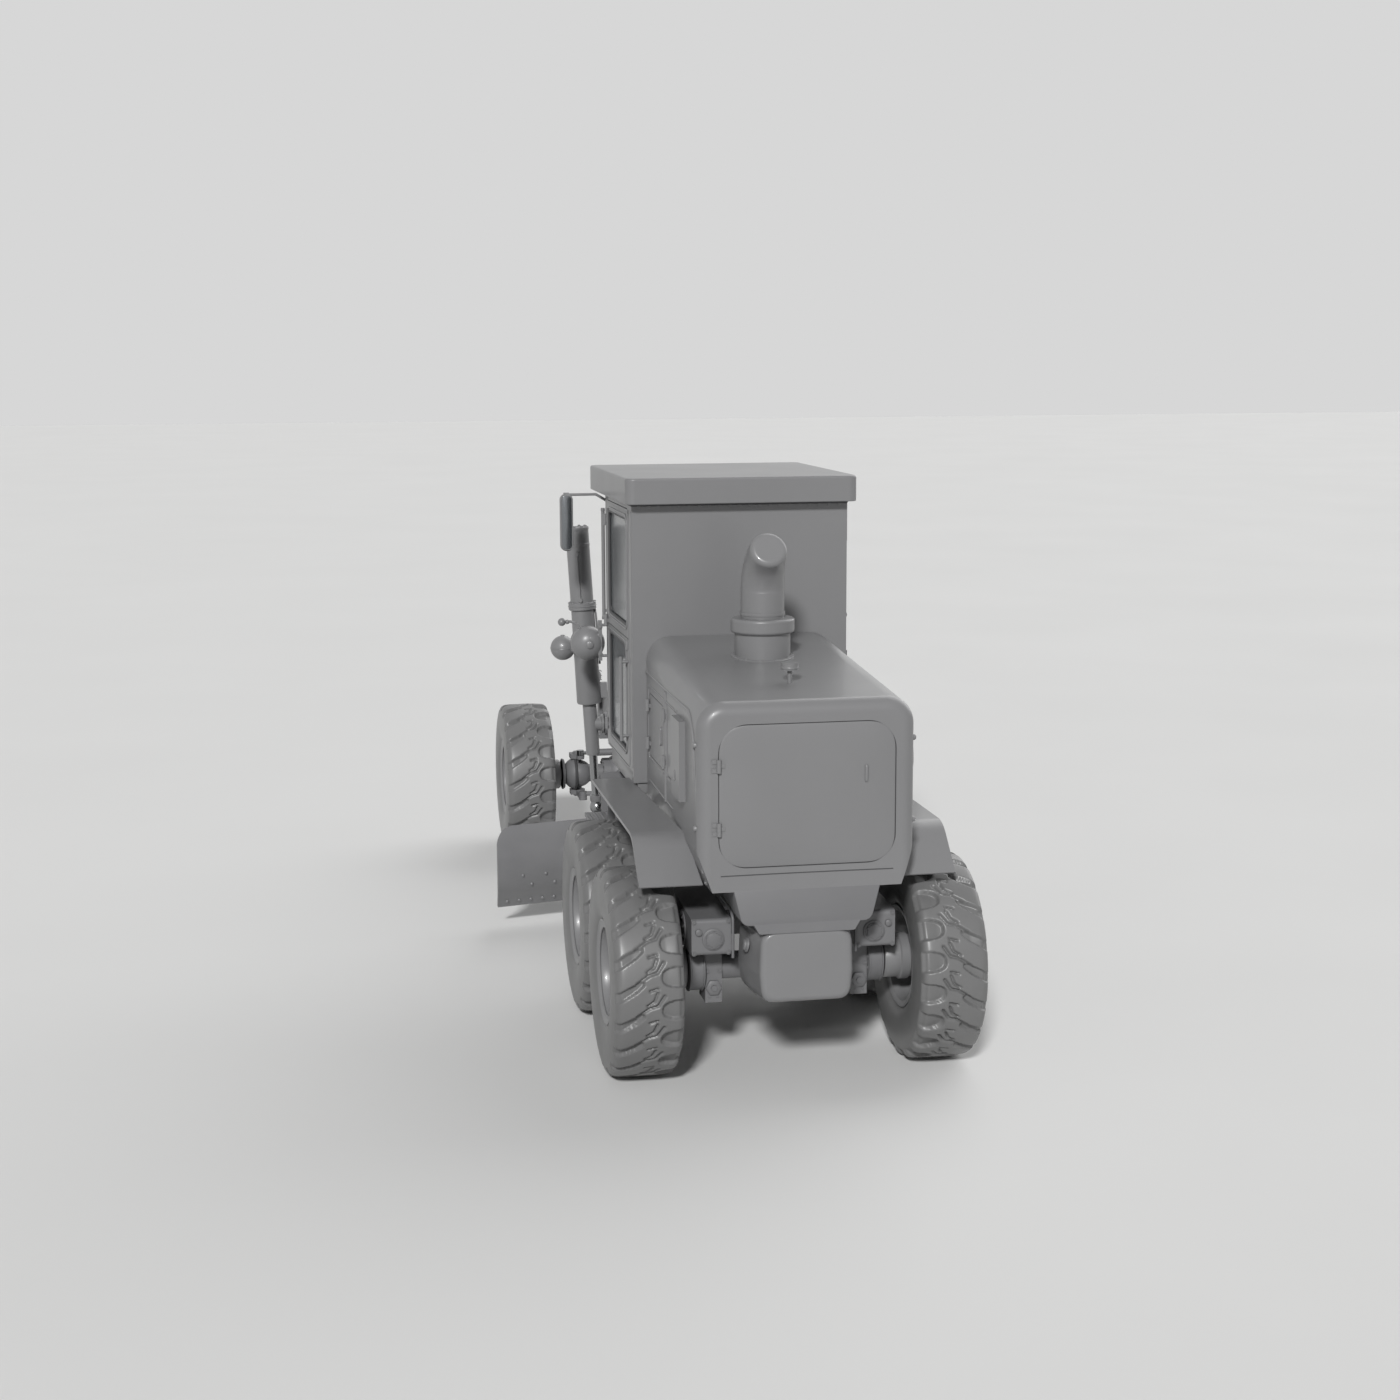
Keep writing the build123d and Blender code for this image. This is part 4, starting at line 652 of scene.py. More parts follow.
def box_path(x: Point, z: Point, y: float, radius: float) -> list[Vector]:
    """Return a round-cornered rectangle's closed path in a plane across the machine.

    Args:
        x: its low and high x.
        z: its low and high z.
        y: the plane.
        radius: the corners' radius.

    Returns:
        Its points.
    """
    return rounded([(a, y, b) for a, b in rect((x[0], z[0]), (x[1], z[1]))], radius, 6)


def dress_nodes() -> None:
    """Give each carried-over CAD node the finish of the real part."""
    table = {
        PLATE_ENAMEL: "main_frame front_frame nose_block walking_beams drawbar circle_shoes access_steps circle "
                      "engine_block",
        CAST_ENAMEL: "front_axle rear_axles knuckle_left knuckle_right tie_rod steer_tube",
        ROD_CHROME: "lift_rod_left lift_rod_right steer_rod shift_rod",
        DUSTY_GLASS: "cab_glass door_glass_left door_glass_right",
        SEAT_VINYL: "cab_seat",
        CONSOLE_ABS: "control_console",
    }
    chosen = {name: finish for finish, names in table.items() for name in names.split()}
    for name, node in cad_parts.items():
        material = chosen.get(name, BODY_ENAMEL).make()
        for entry in node.material_slots:
            entry.material = material
        if not node.material_slots:
            node.data.materials.append(material)


@dataclass
class Hood:
    """Trim of the engine hood, and the domed door at its rear."""

    rear_x: float = -4.488
    front_x: float = -2.24
    half: Point = (0.756, 0.733)
    top: Point = (2.757, 2.923)
    shoulder: float = 0.19
    skirt: Point = (0.658, 1.467, 1.745)
    door_half: float = 0.61
    door_z: Point = (1.634, 2.607)
    door_round: float = 0.2
    # The door's dome: share of its outline, and how far it stands out, or in where that is below 0
    dome: tuple[Point, ...] = (
        (1.0, -0.028), (1.0, -0.007), (0.998, -0.002), (0.99, 0), (0.975, 0.0015), (0.94, 0.0045), (0.88, 0.0085),
        (0.78, 0.013), (0.64, 0.017), (0.48, 0.019), (0.3, 0.0197), (0.12, 0.02), (0.02, 0.02))
    hinge_y: float = 0.613
    hinge_z: Point = (1.904, 2.337)
    hinge_half: float = 0.0147
    latch: Point = (-0.403, 2.253)

    def side(self, x: float, z: float, proud: float = 0.0) -> Vector:
        """Return a point of the left side's surface, or one that stands proud of it."""
        share = (x - self.rear_x) / (self.front_x - self.rear_x)
        half = self.half[0] + (self.half[1] - self.half[0]) * share
        over = max(0.0, z - (self.top[0] + (self.top[1] - self.top[0]) * share - self.shoulder))
        half -= self.shoulder - math.sqrt(max(self.shoulder**2 - over**2, 0.0))
        foot, low, high = self.skirt
        if z < high:
            half = min(half, foot + (self.half[0] - foot) * (z - low) / (high - low))
        return Vector((x, half + proud, z))

    def run(self, x: Point, z: float, count: int = 12) -> list[Vector]:
        """Return a level path along the left side, sunk at both ends."""
        places = [x[0] + (x[1] - x[0]) * k / count for k in range(count + 1)]
        return [self.side(p, z, -0.012 if k in (0, count) else 0.0) for k, p in enumerate(places)]

    def trim(self) -> None:
        """Add the two trim beads, the panel beads, buffers and fasteners of both sides."""
        shape = Shape()
        border = bend([(-2.255, 2.655), (-4.38, 2.655), (-4.38, 1.585)], 0.36, 12)
        shape.sweep([self.side(*p) for p in border], 0.0125, 8)
        for x, z in (((-3.655, -2.29), 2.572), ((-3.52, -2.29), 1.838)):
            shape.sweep(self.run(x, z), 0.007, 8)
        for rear, front, high in ((-3.1, -2.345, 2.535), (-3.662, -3.215, 2.585)):
            corners = ((rear, high), (rear, 2.018), (front, 2.018), (front, high))
            shape.sweep(bend([self.side(*p) for p in corners], 0.05), 0.006, 8)
        shape.sweep([self.side(-3.158, z) for z in np.linspace(1.83, 2.64, 7)], 0.014, 8)
        oval = rounded(rect((-3.848, 2.122), (-3.812, 2.192)), 0.018, 5)
        shape.sweep([(p.x, 0.797, p.y) for p in oval], 0.004, 6, closed=True)
        shape.bolts([self.side(x, 1.5) for x in np.arange(-4.32, -2.3, 0.27)], Y, 0.018)
        for z in (2.47, 1.9):
            shape.lathe(((-0.01, 0.02), (0.01, 0.02), (0.018, 0.014), (0.02, 0)), self.side(-4.405, z), Y, 20)
        shape.twin().stand("hood_trim", BODY_ENAMEL)

    def seals(self) -> None:
        """Add dark lines of painted shade in the skirt's seams, in the side latches' slots and in the rear door's gap.
        """
        # The skirt's seams are thin dark strips that paint the shade under its ledge.
        seams = Shape().sweep(self.run((-4.4, -2.25), 1.56), 0.004, 6)
        # A thin dark plate paints the shade inside each side latch's slot.
        slot = rounded(rect((-3.842, -2.186), (-3.818, -2.128)), 0.012, 5)
        seams.prism(slot, facing((0, 0.7935, 0), Y, -Z), 0.003, 0)
        seams.twin()
        # The rear seam, a line of painted shade under the skirt's ledge, bows by 6 mm
        seams.sweep([(self.rear_x, y, 1.576 + 0.006 * math.cos(1.6 * y)) for y in np.linspace(-0.6, 0.6, 13)], 0.004, 6)
        # A dark ring sunk in the door's gap paints the gap's shade.
        half, (low, high) = self.door_half + 0.003, self.door_z
        gap = rounded(rect((-half, low - 0.003), (half, high + 0.003)), self.door_round, 10)
        seams.sweep([(self.rear_x + 0.016, *p) for p in gap], 0.009, 8, closed=True)
        seams.stand("hood_shade_lines", SEAL_RUBBER_AND_SHADE)

    def door(self) -> None:
        """Build the domed rear door with its hinges and latch."""
        low, high = self.door_z
        outline = rounded(rect((-self.door_half, low), (self.door_half, high)), self.door_round, 12)
        middle = Vector((0, (low + high) / 2))
        shape = Shape().grid([[(self.rear_x - out, *(middle + (p - middle) * share)) for p in outline]
                              for share, out in self.dome])
        for z in self.hinge_z:
            pin = (self.rear_x - 0.016, self.hinge_y, z)
            shape.lathe(((-self.hinge_half, 0.016), (self.hinge_half, 0.016)), pin, Z, 20)
            shape.slab((self.rear_x - 0.008, self.hinge_y - 0.046, z - self.hinge_half),
                       (self.rear_x + 0.004, self.hinge_y, z + self.hinge_half), 0.002)
        y, z = self.latch
        grip = [(self.rear_x - out, y, h) for out, h in ((0.004, 2.196), (0.019, 2.204), (0.019, 2.302), (0.004, 2.31))]
        shape.sweep(bend(grip, 0.014), 0.0125, 12)
        plate = rounded(rect((-0.034, -0.078), (0.034, 0.078)), 0.03, 6)
        shape.prism(plate, facing((self.rear_x - 0.004, y, z), -X), 0.01, 0.003)
        shape.stand("rear_door", BODY_ENAMEL, "hood_rear_door", body="hood_rear_door", crease=45)

    def build(self) -> None:
        """Build the trim, the dark lines of painted shade, and the door."""
        self.trim()
        self.seals()
        self.door()


@dataclass
class Exhaust:
    """Clamp band and foot ring of the exhaust, and the filler cap's seam."""

    x: float = -3.04
    band_z: float = 3.183
    filler: Point = (-3.93, 0, 2.89)

    def build(self) -> None:
        """Build the rings on the stack and the filler cap."""
        shape = Shape()
        shape.lathe(((-0.012, 0.159), (-0.012, 0.166), (0.012, 0.166), (0.012, 0.159)), (self.x, 0, self.band_z), Z, 60)
        lug = self.x + 0.16
        shape.slab((lug, -0.016, self.band_z - 0.011), (lug + 0.028, 0.016, self.band_z + 0.011), 0.003)
        shape.bolts([(lug + 0.015, 0.016, self.band_z)], Y, 0.013)
        slope = Vector((-0.0738, 0, 1)).normalized()
        foot = ((-0.02, 0.204), (-0.004, 0.232), (0.006, 0.232), (0.01, 0.226), (0.012, 0.204))
        shape.lathe(foot, (self.x, 0, 2.864), slope, 64)
        shape.ring_bolts((self.x, 0, 2.871), slope, 0.219, 12, 0.013)
        shape.lathe(((0.006, 0.0605), (0.01, 0.0625), (0.018, 0.0625), (0.022, 0.0605)), self.filler, Z, 32)
        shape.stand("exhaust_rings", BODY_ENAMEL)


@dataclass
class Cab:
    """Seals, a dark strip of painted shade under the roof's edge, frames, beads, rear ticks, wipers and base of the
    cab.
    """

    half: float = 0.838
    rear_x: float = -2.237
    corner_x: float = -0.85
    front_x: float = -0.49
    front_half: float = 0.55
    floor_z: float = 1.872
    top_z: float = 3.934
    door_x: Point = (-2.03, -0.925)
    door_z: Point = (1.88, 3.88)
    panes: tuple[tuple[Point, Point], ...] = (((-1.96, -1.005), (2.976, 3.8)), ((-1.9, -1.03), (1.985, 2.818)))
    front_panes: tuple[tuple[Point, Point], ...] = (((-0.46, 2.7), (0.46, 3.8)), ((-0.46, 1.99), (0.46, 2.6)))
    quarter_z: Point = (1.97, 3.8)
    wipers: tuple[Point, ...] = ((-0.1, 2.665, 0.46), (0.1, 1.965, 0.3))

    def quarter(self, along: float, z: float) -> Vector:
        """Return a point of the left quarter face, from its rear corner."""
        run = Vector((self.front_x - self.corner_x, self.front_half - self.half, 0)).normalized()
        return Vector((self.corner_x, self.half, z)) + run * along

    def plan(self, inset: Point, side: float, front_inset: float, front: float) -> list[Point]:
        """Return the cab's six-sided plan, drawn in.

        Args:
            inset: how far the rear face and the quarter's rear corner are drawn in along the machine.
            side: half width of the sides.
            front_inset: how far the front is drawn in.
            front: half width of the front.

        Returns:
            The corners, from the right rear one.
        """
        right = [(self.rear_x + inset[0], -side), (self.corner_x - inset[1], -side),
                 (self.front_x - front_inset, -front)]
        return right + [(x, -y) for x, y in reversed(right)]

    def doors(self) -> None:
        """Dress both doors: dark seals, a raised frame round each pane, the belt seam and the lock."""
        lock_x, lock_z = (self.door_x[0] + 0.018, self.door_x[0] + 0.066), (2.79, 2.86)
        for side, sign in SIDES:
            seals, frames = Shape(), Shape()
            for x, z in self.panes:
                seals.sweep(box_path(x, z, sign * (self.half - 0.007), 0.08), 0.011, 8, closed=True)
                wide = (x[0] - 0.034, x[1] + 0.03), (z[0] - 0.03, z[1] + 0.03)
                frames.sweep(box_path(*wide, sign * (self.half + 0.001), 0.1), 0.009, 8, closed=True)
            seam = (self.door_x[0] + 0.006, self.door_x[1] - 0.006)
            seals.sweep([(x, sign * (self.half + 0.0005), 2.88) for x in seam], 0.004, 6)
            low, high = sorted((sign * (self.half - 0.004), sign * (self.half + 0.014)))
            frames.slab((lock_x[0], low, lock_z[0]), (lock_x[1], high, lock_z[1]), 0.006, 3)
            frames.lathe(((0, 0.011), (0.006, 0.011), (0.008, 0.008), (0.008, 0)),
                         (lock_x[0] + 0.024, sign * (self.half + 0.013), 2.842), Y * sign, 20)
            seals.stand(f"door_seals_{side}", SEAL_RUBBER_AND_SHADE, body=f"cab_door_{side}")
            frames.stand(f"door_frames_{side}", BODY_ENAMEL, body=f"cab_door_{side}")

    def seals(self) -> None:
        """Set the seals of the door openings and the windows, and a dark strip of painted shade under the roof's edge.
        """
        seals = Shape().sweep(box_path(self.door_x, self.door_z, self.half - 0.03, 0.036), 0.009, 6, closed=True)
        wide = math.hypot(self.front_x - self.corner_x, self.front_half - self.half) - 0.058
        around = [self.quarter(*p) for p in rect((0.1, self.quarter_z[0]), (wide, self.quarter_z[1]))]
        seals.sweep(rounded(around, 0.07, 6), 0.011, 8, closed=True)
        seals.twin()
        for low, high in self.front_panes:
            corners = [(self.front_x - 0.004, *p) for p in rect(low, high)]
            seals.sweep(rounded(corners, 0.07, 6), 0.011, 8, closed=True)
        # The dark strip round the cab just under the roof's edge paints the shade of the recess there.
        eaves = [(*p, self.top_z - 0.01) for p in self.plan((0, 0), self.half, 0, self.front_half)]
        seals.sweep(rounded(eaves, 0.012, 2), 0.0105, 8, closed=True)
        seals.stand("cab_seals_and_shade", SEAL_RUBBER_AND_SHADE)

    def beads(self) -> None:
        """Add the upright beads, the front's bolts, and the ticks under the roof's rear edge."""
        beads = Shape()
        for x in (self.rear_x + 0.028, self.door_x[0] - 0.04):
            beads.sweep([(x, self.half, z) for z in (self.floor_z + 0.03, self.top_z - 0.06)], 0.005, 8)
        beads.twin()
        for z in (1.925, 2.64, 3.83):
            beads.bolts([(self.front_x, y, z) for y in (-0.505, 0.505)], X, 0.018)
        for y in np.arange(-0.775, 0.8, 0.078):
            beads.slab((self.rear_x - 0.006, y - 0.014, self.top_z - 0.034),
                       (self.rear_x + 0.01, y + 0.014, self.top_z - 0.01), 0.003)
        beads.stand("cab_beads", BODY_ENAMEL)

    def wiper_pair(self) -> None:
        """Build the two front wipers."""
        wipers = Shape()
        for y, z, reach in self.wipers:
            root = Vector((self.front_x + 0.018, y, z))
            tip = root + Vector((0.006, 0.16, reach))
            wipers.lathe(((-0.02, 0.018), (0.004, 0.018), (0.012, 0.012), (0.014, 0)), root, X, 20)
            wipers.sweep([root, root.lerp(tip, 0.5) + X * 0.006, tip], 0.006, 8)
            blade = ((-0.05, -0.55), (0.03, 0.42))
            wipers.sweep([tip + Vector((-0.006, aside, reach * share)) for aside, share in blade], 0.007, 6)
        wipers.stand("wipers", SEAL_RUBBER_AND_SHADE, slot="console_plastic")

    def base(self) -> None:
        """Build the cab's base, drawn in under its walls and down to the deck."""
        drawn = self.plan((0.022, 0.008), 0.806, 0.03, self.front_half - 0.006)
        wide = self.plan((0.004, 0), self.half - 0.003, 0.003, self.front_half)
        shape = Shape()
        for plan, z, height, edge in ((drawn, 1.7, 0.166, 0.01), (wide, 1.85, 0.022, 0.006),
                                      ([(x, y * 0.86) for x, y in drawn], 1.6, 0.12, 0.01)):
            shape.prism(plan, Matrix.Translation((0, 0, z)), height, edge)
        shape.stand("cab_base", BODY_ENAMEL, "cab_floor")

    def build(self) -> None:
        """Dress the doors and the shell, and build the base."""
        self.doors()
        self.seals()
        self.beads()
        self.wiper_pair()
        self.base()


@dataclass
class Seat:
    """A driver's seat: bellows pedestal, crowned cushion and back with sewn channels, and arm rests."""

    x: Point = (-1.9, -1.38)
    seat_z: Point = (2.262, 2.388)
    floor_z: float = 1.872
    back_foot: Point = (-1.84, 0, 2.385)
    back_head: Point = (-1.935, 0, 3.01)
    half: Point = (0.255, 0.238)
    back_thick: float = 0.052
    seams: Point = (-0.5, 0, 0.5)

    def pad(self, place: Matrix, half: Point, name: str) -> None:
        """Build one cushion, fuller in its middle, drawn in along its sides, with sewn channels.

        Args:
            place: its frame; Z is its crowned face.
            half: half sizes in that frame.
            name: the piece's name.
        """
        part = bmesh.new()
        bmesh.ops.create_cube(part, size=2.0)
        bmesh.ops.subdivide_edges(part, edges=part.edges, cuts=26, use_grid_fill=True)
        for vert in part.verts:
            p = vert.co
            q = p / (abs(p.x) ** 7 + abs(p.y) ** 7 + abs(p.z) ** 7) ** (1 / 7)
            full = 0.80 + 0.20 * (1 - q.x**2) * (1 - q.y**2)
            groove = sum(math.exp(-(((q.y - s) / 0.045) ** 2)) for s in self.seams) * 0.16 * (1 - q.x**6)
            piping = math.exp(-(((abs(q.z) - 0.45) / 0.07) ** 2)) * 0.014 * (1 if q.z > 0 else 0)
            vert.co = Vector((
                half[0] * q.x * (1 - 0.045 * (1 - q.y**2) + piping),
                half[1] * q.y * (1 - 0.045 * (1 - q.x**2) + piping),
                half[2] * (q.z * full - (groove if q.z > 0.3 else 0)),
            ))
        piece = Shape().absorb(part, place).stand(name, SEAT_VINYL, crease=80)

    def pedestal(self) -> None:
        """Build the foot, the bellows, the pan and the arm rests."""
        shape = Shape()
        middle = sum(self.x) / 2
        shape.slab((middle - 0.17, -0.16, self.floor_z), (middle + 0.17, 0.16, self.floor_z + 0.06), 0.012)
        folds = [(0.06 + 0.022 * k, 0.135 if k % 2 else 0.155) for k in range(13)]
        shape.lathe(((0.055, 0), *folds, (0.35, 0)), (middle, 0, self.floor_z), Z, 40)
        shape.slab((self.x[0] + 0.03, -0.225, 2.215), (self.x[1] - 0.03, 0.225, 2.268), 0.012)
        for y in (-0.285, 0.285):
            shape.sweep(bend([(-1.83, y, 2.4), (-1.8, y, 2.56), (-1.52, y, 2.58)], 0.06, 5), 0.018, 10)
            shape.slab((-1.74, y - 0.032, 2.575), (-1.48, y + 0.032, 2.61), 0.014, 3)
            inner, outer = math.copysign(0.2, y), math.copysign(0.275, y)
            shape.sweep([(-1.825, inner, 2.28), (-1.845, outer, 2.42), (-1.85, inner, 2.55)], 0.014, 8)
        shape.stand("seat_base", CONSOLE_ABS, "cab_seat")

    def build(self) -> None:
        """Build the pedestal and its two pads."""
        self.pedestal()
        low, high = self.seat_z
        flat = Matrix.Translation((sum(self.x) / 2, 0, (low + high) / 2))
        self.pad(flat, ((self.x[1] - self.x[0]) / 2, self.half[0], (high - low) / 2), "seat_cushion")
        foot, head = Vector(self.back_foot), Vector(self.back_head)
        rise = head - foot
        across = facing((foot + head) / 2, Vector((rise.z, 0, -rise.x)), rise)
        turned = across @ Matrix.Rotation(math.pi / 2, 4, "Z")
        self.pad(turned, (rise.length / 2, self.half[1], self.back_thick), "seat_back")


@dataclass
class Console:
    """The steering console: a moulded housing, column, wheel with three spokes, gauges, levers and pedals."""

    housing: tuple[Point, ...] = ((-0.82, 1.872), (-0.64, 1.872), (-0.64, 2.4), (-0.76, 2.44), (-0.9, 2.38))
    housing_half: float = 0.188
    centre: Point = (-0.935, 0, 2.525)
    rim_r: float = 0.19
    column: Point = (-0.115, 0, 0.145)
    gauge_y: Point = (-0.12, -0.04, 0.04, 0.12)
    lever_y: Point = (-0.165, -0.135, -0.105, 0.105, 0.135, 0.165)
    pedal_y: Point = (-0.1, 0.02, 0.12)

    def body(self) -> None:
        """Build the housing, the column and the steering wheel."""
        shape = Shape().prism(self.housing, facing((0, self.housing_half, 0), -Y), 2 * self.housing_half, 0.018, 4)
        axis, hub = Vector(self.column).normalized(), Vector(self.centre)
        shape.lathe(((-0.19, 0.034), (-0.05, 0.026), (-0.02, 0.03), (0.012, 0.045), (0.02, 0.04), (0.022, 0)),
                    hub, axis, 28)
        place = facing(hub, axis)
        shape.sweep(laid(circle(self.rim_r, 48), place), 0.0145, 12, closed=True)
        for end in laid(circle(self.rim_r, 3, 0.75), place):
            shape.sweep([hub, hub.lerp(end, 0.5) - axis * 0.006, end], 0.011, 8)
        shape.stand("console", CONSOLE_ABS, "control_console")

    def controls(self) -> None:
        """Set the gauges, the levers and the pedals."""
        fittings = Shape()
        face = Vector((-0.07, 0, 0.14)).normalized()
        for y in self.gauge_y:
            bezel = ((-0.004, 0.031), (0.008, 0.031), (0.01, 0.027), (0.006, 0.026), (0.006, 0))
            fittings.lathe(bezel, (-0.815, y, 2.418), face, 28)
        for k, y in enumerate(self.lever_y):
            foot = Vector((-0.88, y, 2.385))
            tip = foot + Vector((-0.08 - 0.004 * (k % 3), 0, 0.125))
            fittings.sweep([foot, tip], 0.005, 8)
            fittings.lathe(((-0.02, 0.008), (-0.012, 0.016), (0.01, 0.018), (0.022, 0.01), (0.024, 0)),
                           tip, tip - foot, 16)
        for y in self.pedal_y:
            fittings.prism(rounded(rect((-0.04, -0.055), (0.04, 0.055)), 0.012),
                           facing((-0.905, y, 1.935), Vector((-0.5, 0, 0.8))), 0.012, 0.003)
            fittings.sweep([(-0.83, y, 1.9), (-0.9, y, 1.93)], 0.008, 8)
        fittings.stand("controls", ZINC)

    def build(self) -> None:
        """Build the console in place of its CAD node."""
        self.body()
        self.controls()


@dataclass
class Mirrors:
    """Glass and clamps of the two mirrors."""

    middle: Point = (-0.829, 1.153, 3.6915)
    half: Point = (0.04, 0.2175)
    arm_x: float = -0.8

    def build(self) -> None:
        """Set a silvered pane in each housing's rear face, and a clamp on each arm."""
        outline = rounded(rect((-self.half[0], -self.half[1]), self.half), 0.038, 6)
        face = facing(self.middle, -X)
        glass = Shape().prism(outline, face, 0.0025, 0.001)
        lip = laid([(p.x * 1.1, p.y * 1.018) for p in outline], face)
        clamps = Shape().sweep(lip, 0.0045, 6, closed=True)
        clamps.lathe(((-0.022, 0.017), (0.022, 0.017)), (self.arm_x, self.middle[1], 3.918), Y, 20)
        clamps.lathe(((-0.012, 0.022), (0.004, 0.022), (0.008, 0.015)), (self.arm_x, 0.812, 3.858),
                     Vector((0, 1, 0.6)), 20)
        glass.twin().stand("mirror_glass", MIRROR_GLASS)
        clamps.twin().stand("mirror_clamps", BODY_ENAMEL)


@dataclass
class Lamps:
    """Lenses, bezels and guards of the work lamps and head lamps, and the small marker on its stalk."""

    work: Point = (-0.69, 0.98, 2.685)
    work_r: float = 0.126
    head: Point = (4.16, 0.3, 1.68)
    head_r: float = 0.084
    marker: Point = (-0.74, 2.866)

    def build(self) -> None:
        """Build both pairs."""
        lenses, metal = Shape(), Shape()
        for at, r in ((self.work, self.work_r), (self.head, self.head_r)):
            lenses.lathe(((-0.004, r), (0.002, r), (0.008, r * 0.86), (0.013, r * 0.5), (0.015, 0)), at, X, 48)
            metal.lathe(((-0.014, r + 0.016), (0.004, r + 0.016), (0.009, r + 0.009), (0.006, r - 0.001),
                         (-0.004, r - 0.001)), at, X, 48, True)
        x, y, z = self.work
        metal.lathe(((0, 0.034), (0.012, 0.032), (0.018, 0.024), (0.018, 0)), (x - 0.157, y, z), -X, 28)
        metal.bolts([(-0.815, 0.887, h) for h in (2.6, 2.825)], -X, 0.02)
        metal.sweep([(-0.8, 0.887, 2.76), (-0.8, 0.93, 2.745), (-0.78, 0.965, 2.725)], 0.016, 10)
        x, z = self.marker
        metal.sweep(slack([(x, 1.176, z), (x, 1.125, 2.868), (-0.744, 1.07, 2.842), (-0.748, 1.035, 2.792)]),
                    0.0105, 10)
        for y, r in ((1.196, 0.033), (1.15, 0.019)):
            ball = [(r * math.cos(t), max(r * math.sin(t), 0.0)) for t in np.linspace(math.pi, 0, 13)]
            metal.lathe(ball, (x, y, z), Y, 20)
        x, y, z = self.head
        guard = ((-0.05, -0.105), (0.03, -0.105), (0.03, 0.105), (-0.05, 0.105))
        for lift in (-0.045, 0, 0.045):
            metal.sweep(bend([(x + a, y + b, z + lift) for a, b in guard], 0.03), 0.0055, 8)
        lenses.twin().stand("lamp_lenses", LAMP_GLASS)
        metal.twin().stand("lamp_metal", BODY_ENAMEL)


@dataclass
class LiftCylinders:
    """The lift cylinders: stepped tubes with cap, ball, ports and pipes, and the rods' lower collars."""

    foot: Point = (-0.14, 0.84, 1.172)
    head: Point = (-0.14, 0.985, 3.6)
    ball: Point = (0.0, 1.1, 2.55)
    ball_r: float = 0.106
    pin_z: float = 1.9
    # Height and radius of the tube's steps, from the cap down
    steps: tuple[Point, ...] = (
        (3.598, 0.092), (3.592, 0.098), (2.961, 0.098), (2.96, 0.112), (2.954, 0.118), (2.901, 0.118), (2.895, 0.112),
        (2.894, 0.098), (2.097, 0.106), (2.085, 0.1), (2.084, 0.06), (1.65, 0.059), (1.632, 0.052))

    @property
    def axis(self) -> Vector:
        """Return the left cylinder's direction, upwards."""
        return (Vector(self.head) - Vector(self.foot)).normalized()

    def at(self, z: float, way: Vector = Z, off: float = 0.0) -> Vector:
        """Return the left cylinder's centre at a height, or a place off it in some direction."""
        foot, head = Vector(self.foot), Vector(self.head)
        return foot.lerp(head, (z - foot.z) / (head.z - foot.z)) + way * off

    def tube(self) -> Shape:
        """Build the left tube with its cap, bands, pin and ball."""
        head, ball, axis = Vector(self.head), Vector(self.ball), self.axis
        down = [(-(self.at(z) - head).length, radius) for z, radius in self.steps]
        tube = Shape().lathe([(down[0][0], 0), *down, (down[-1][0], 0)], head, axis, 56)
        tube.lathe(((0, 0.06), (0.09, 0.06)), (self.foot[0], 0.766, self.pin_z), Y, 36)
        tube.lathe(((0, 0.08), (0.004, 0.084), (0.02, 0.084), (0.024, 0.07)), (self.foot[0], 0.776, self.pin_z), Y, 40)
        half_turn = np.linspace(math.pi, 0.0001, 29)
        tube.lathe([(self.ball_r * math.cos(t), self.ball_r * math.sin(t)) for t in half_turn], ball, Z, 48)
        tube.sweep([self.at(ball.z), ball], 0.036, 16)
        tube.sweep(laid(circle(self.ball_r + 0.0002, 40), facing(ball, Z)), 0.004, 6, closed=True)
        tube.lathe(((-0.15, 0.036), (-0.128, 0.04), (-0.11, 0.036), (-0.1, 0.03)), ball, ball - self.at(ball.z), 6)
        tube.lathe(((0.102, 0.02), (0.112, 0.018), (0.114, 0)), ball, Z, 16)
        tube.lathe(((-0.03, 0.098), (-0.024, 0.101), (-0.004, 0.101), (0, 0.097), (0, 0.06), (-0.006, 0.055),
                    (-0.006, 0)), head, axis, 48)
        tube.ring_bolts(head - axis * 0.001, axis, 0.079, 8, 0.02)
        tube.lathe(band(0.014, 0.0965, 0.01, 0.1005), self.at(3.45), axis, 48)
        tube.ring_bolts(self.at(2.96), axis, 0.108, 10, 0.013)
        return tube

    def plumbing(self, tube: Shape) -> None:
        """Add the ports and the pipe between them, the collar's seam, and the drop pipe with its clips."""
        back = self.axis.cross(Vector((0.25, 1, 0))).normalized()
        inner = self.axis.cross(back)
        for z in (3.38, 2.985):
            tube.lathe(((0.06, 0.02), (0.116, 0.02), (0.12, 0.015), (0.12, 0)), self.at(z), back, 20)
        pipe = ((3.38, 0.108), (3.35, 0.112), (3.05, 0.112), (2.985, 0.108))
        tube.sweep(bend([self.at(z, back, off) for z, off in pipe], 0.02), 0.0085, 10)
        tube.sweep([self.at(2.928) + back * a + inner * b for a, b in circle(0.1185, 40)], 0.004, 6, closed=True)
        drop = ((2.9, 0.104), (2.85, 0.11), (2.78, 0.112), (2.42, 0.114))
        tube.sweep(bend([self.at(z, inner, off) for z, off in drop], 0.03), 0.009, 10)
        half = Vector((0.022, 0.012, 0.012))
        for z in (2.72, 2.48):
            clip = self.at(z, inner, 0.112)
            tube.slab(clip - half, clip + half)

    def rod(self) -> Shape:
        """Build the collar at the left rod's foot."""
        foot = Vector(self.foot)
        rod = Shape().lathe(((0.046, 0.048), (0.06, 0.055), (0.1, 0.055), (0.112, 0.04)), foot, self.axis, 36)
        return rod.bolts([foot + self.axis * 0.08 + X * aside for aside in (-0.052, 0.052)], X, 0.016)

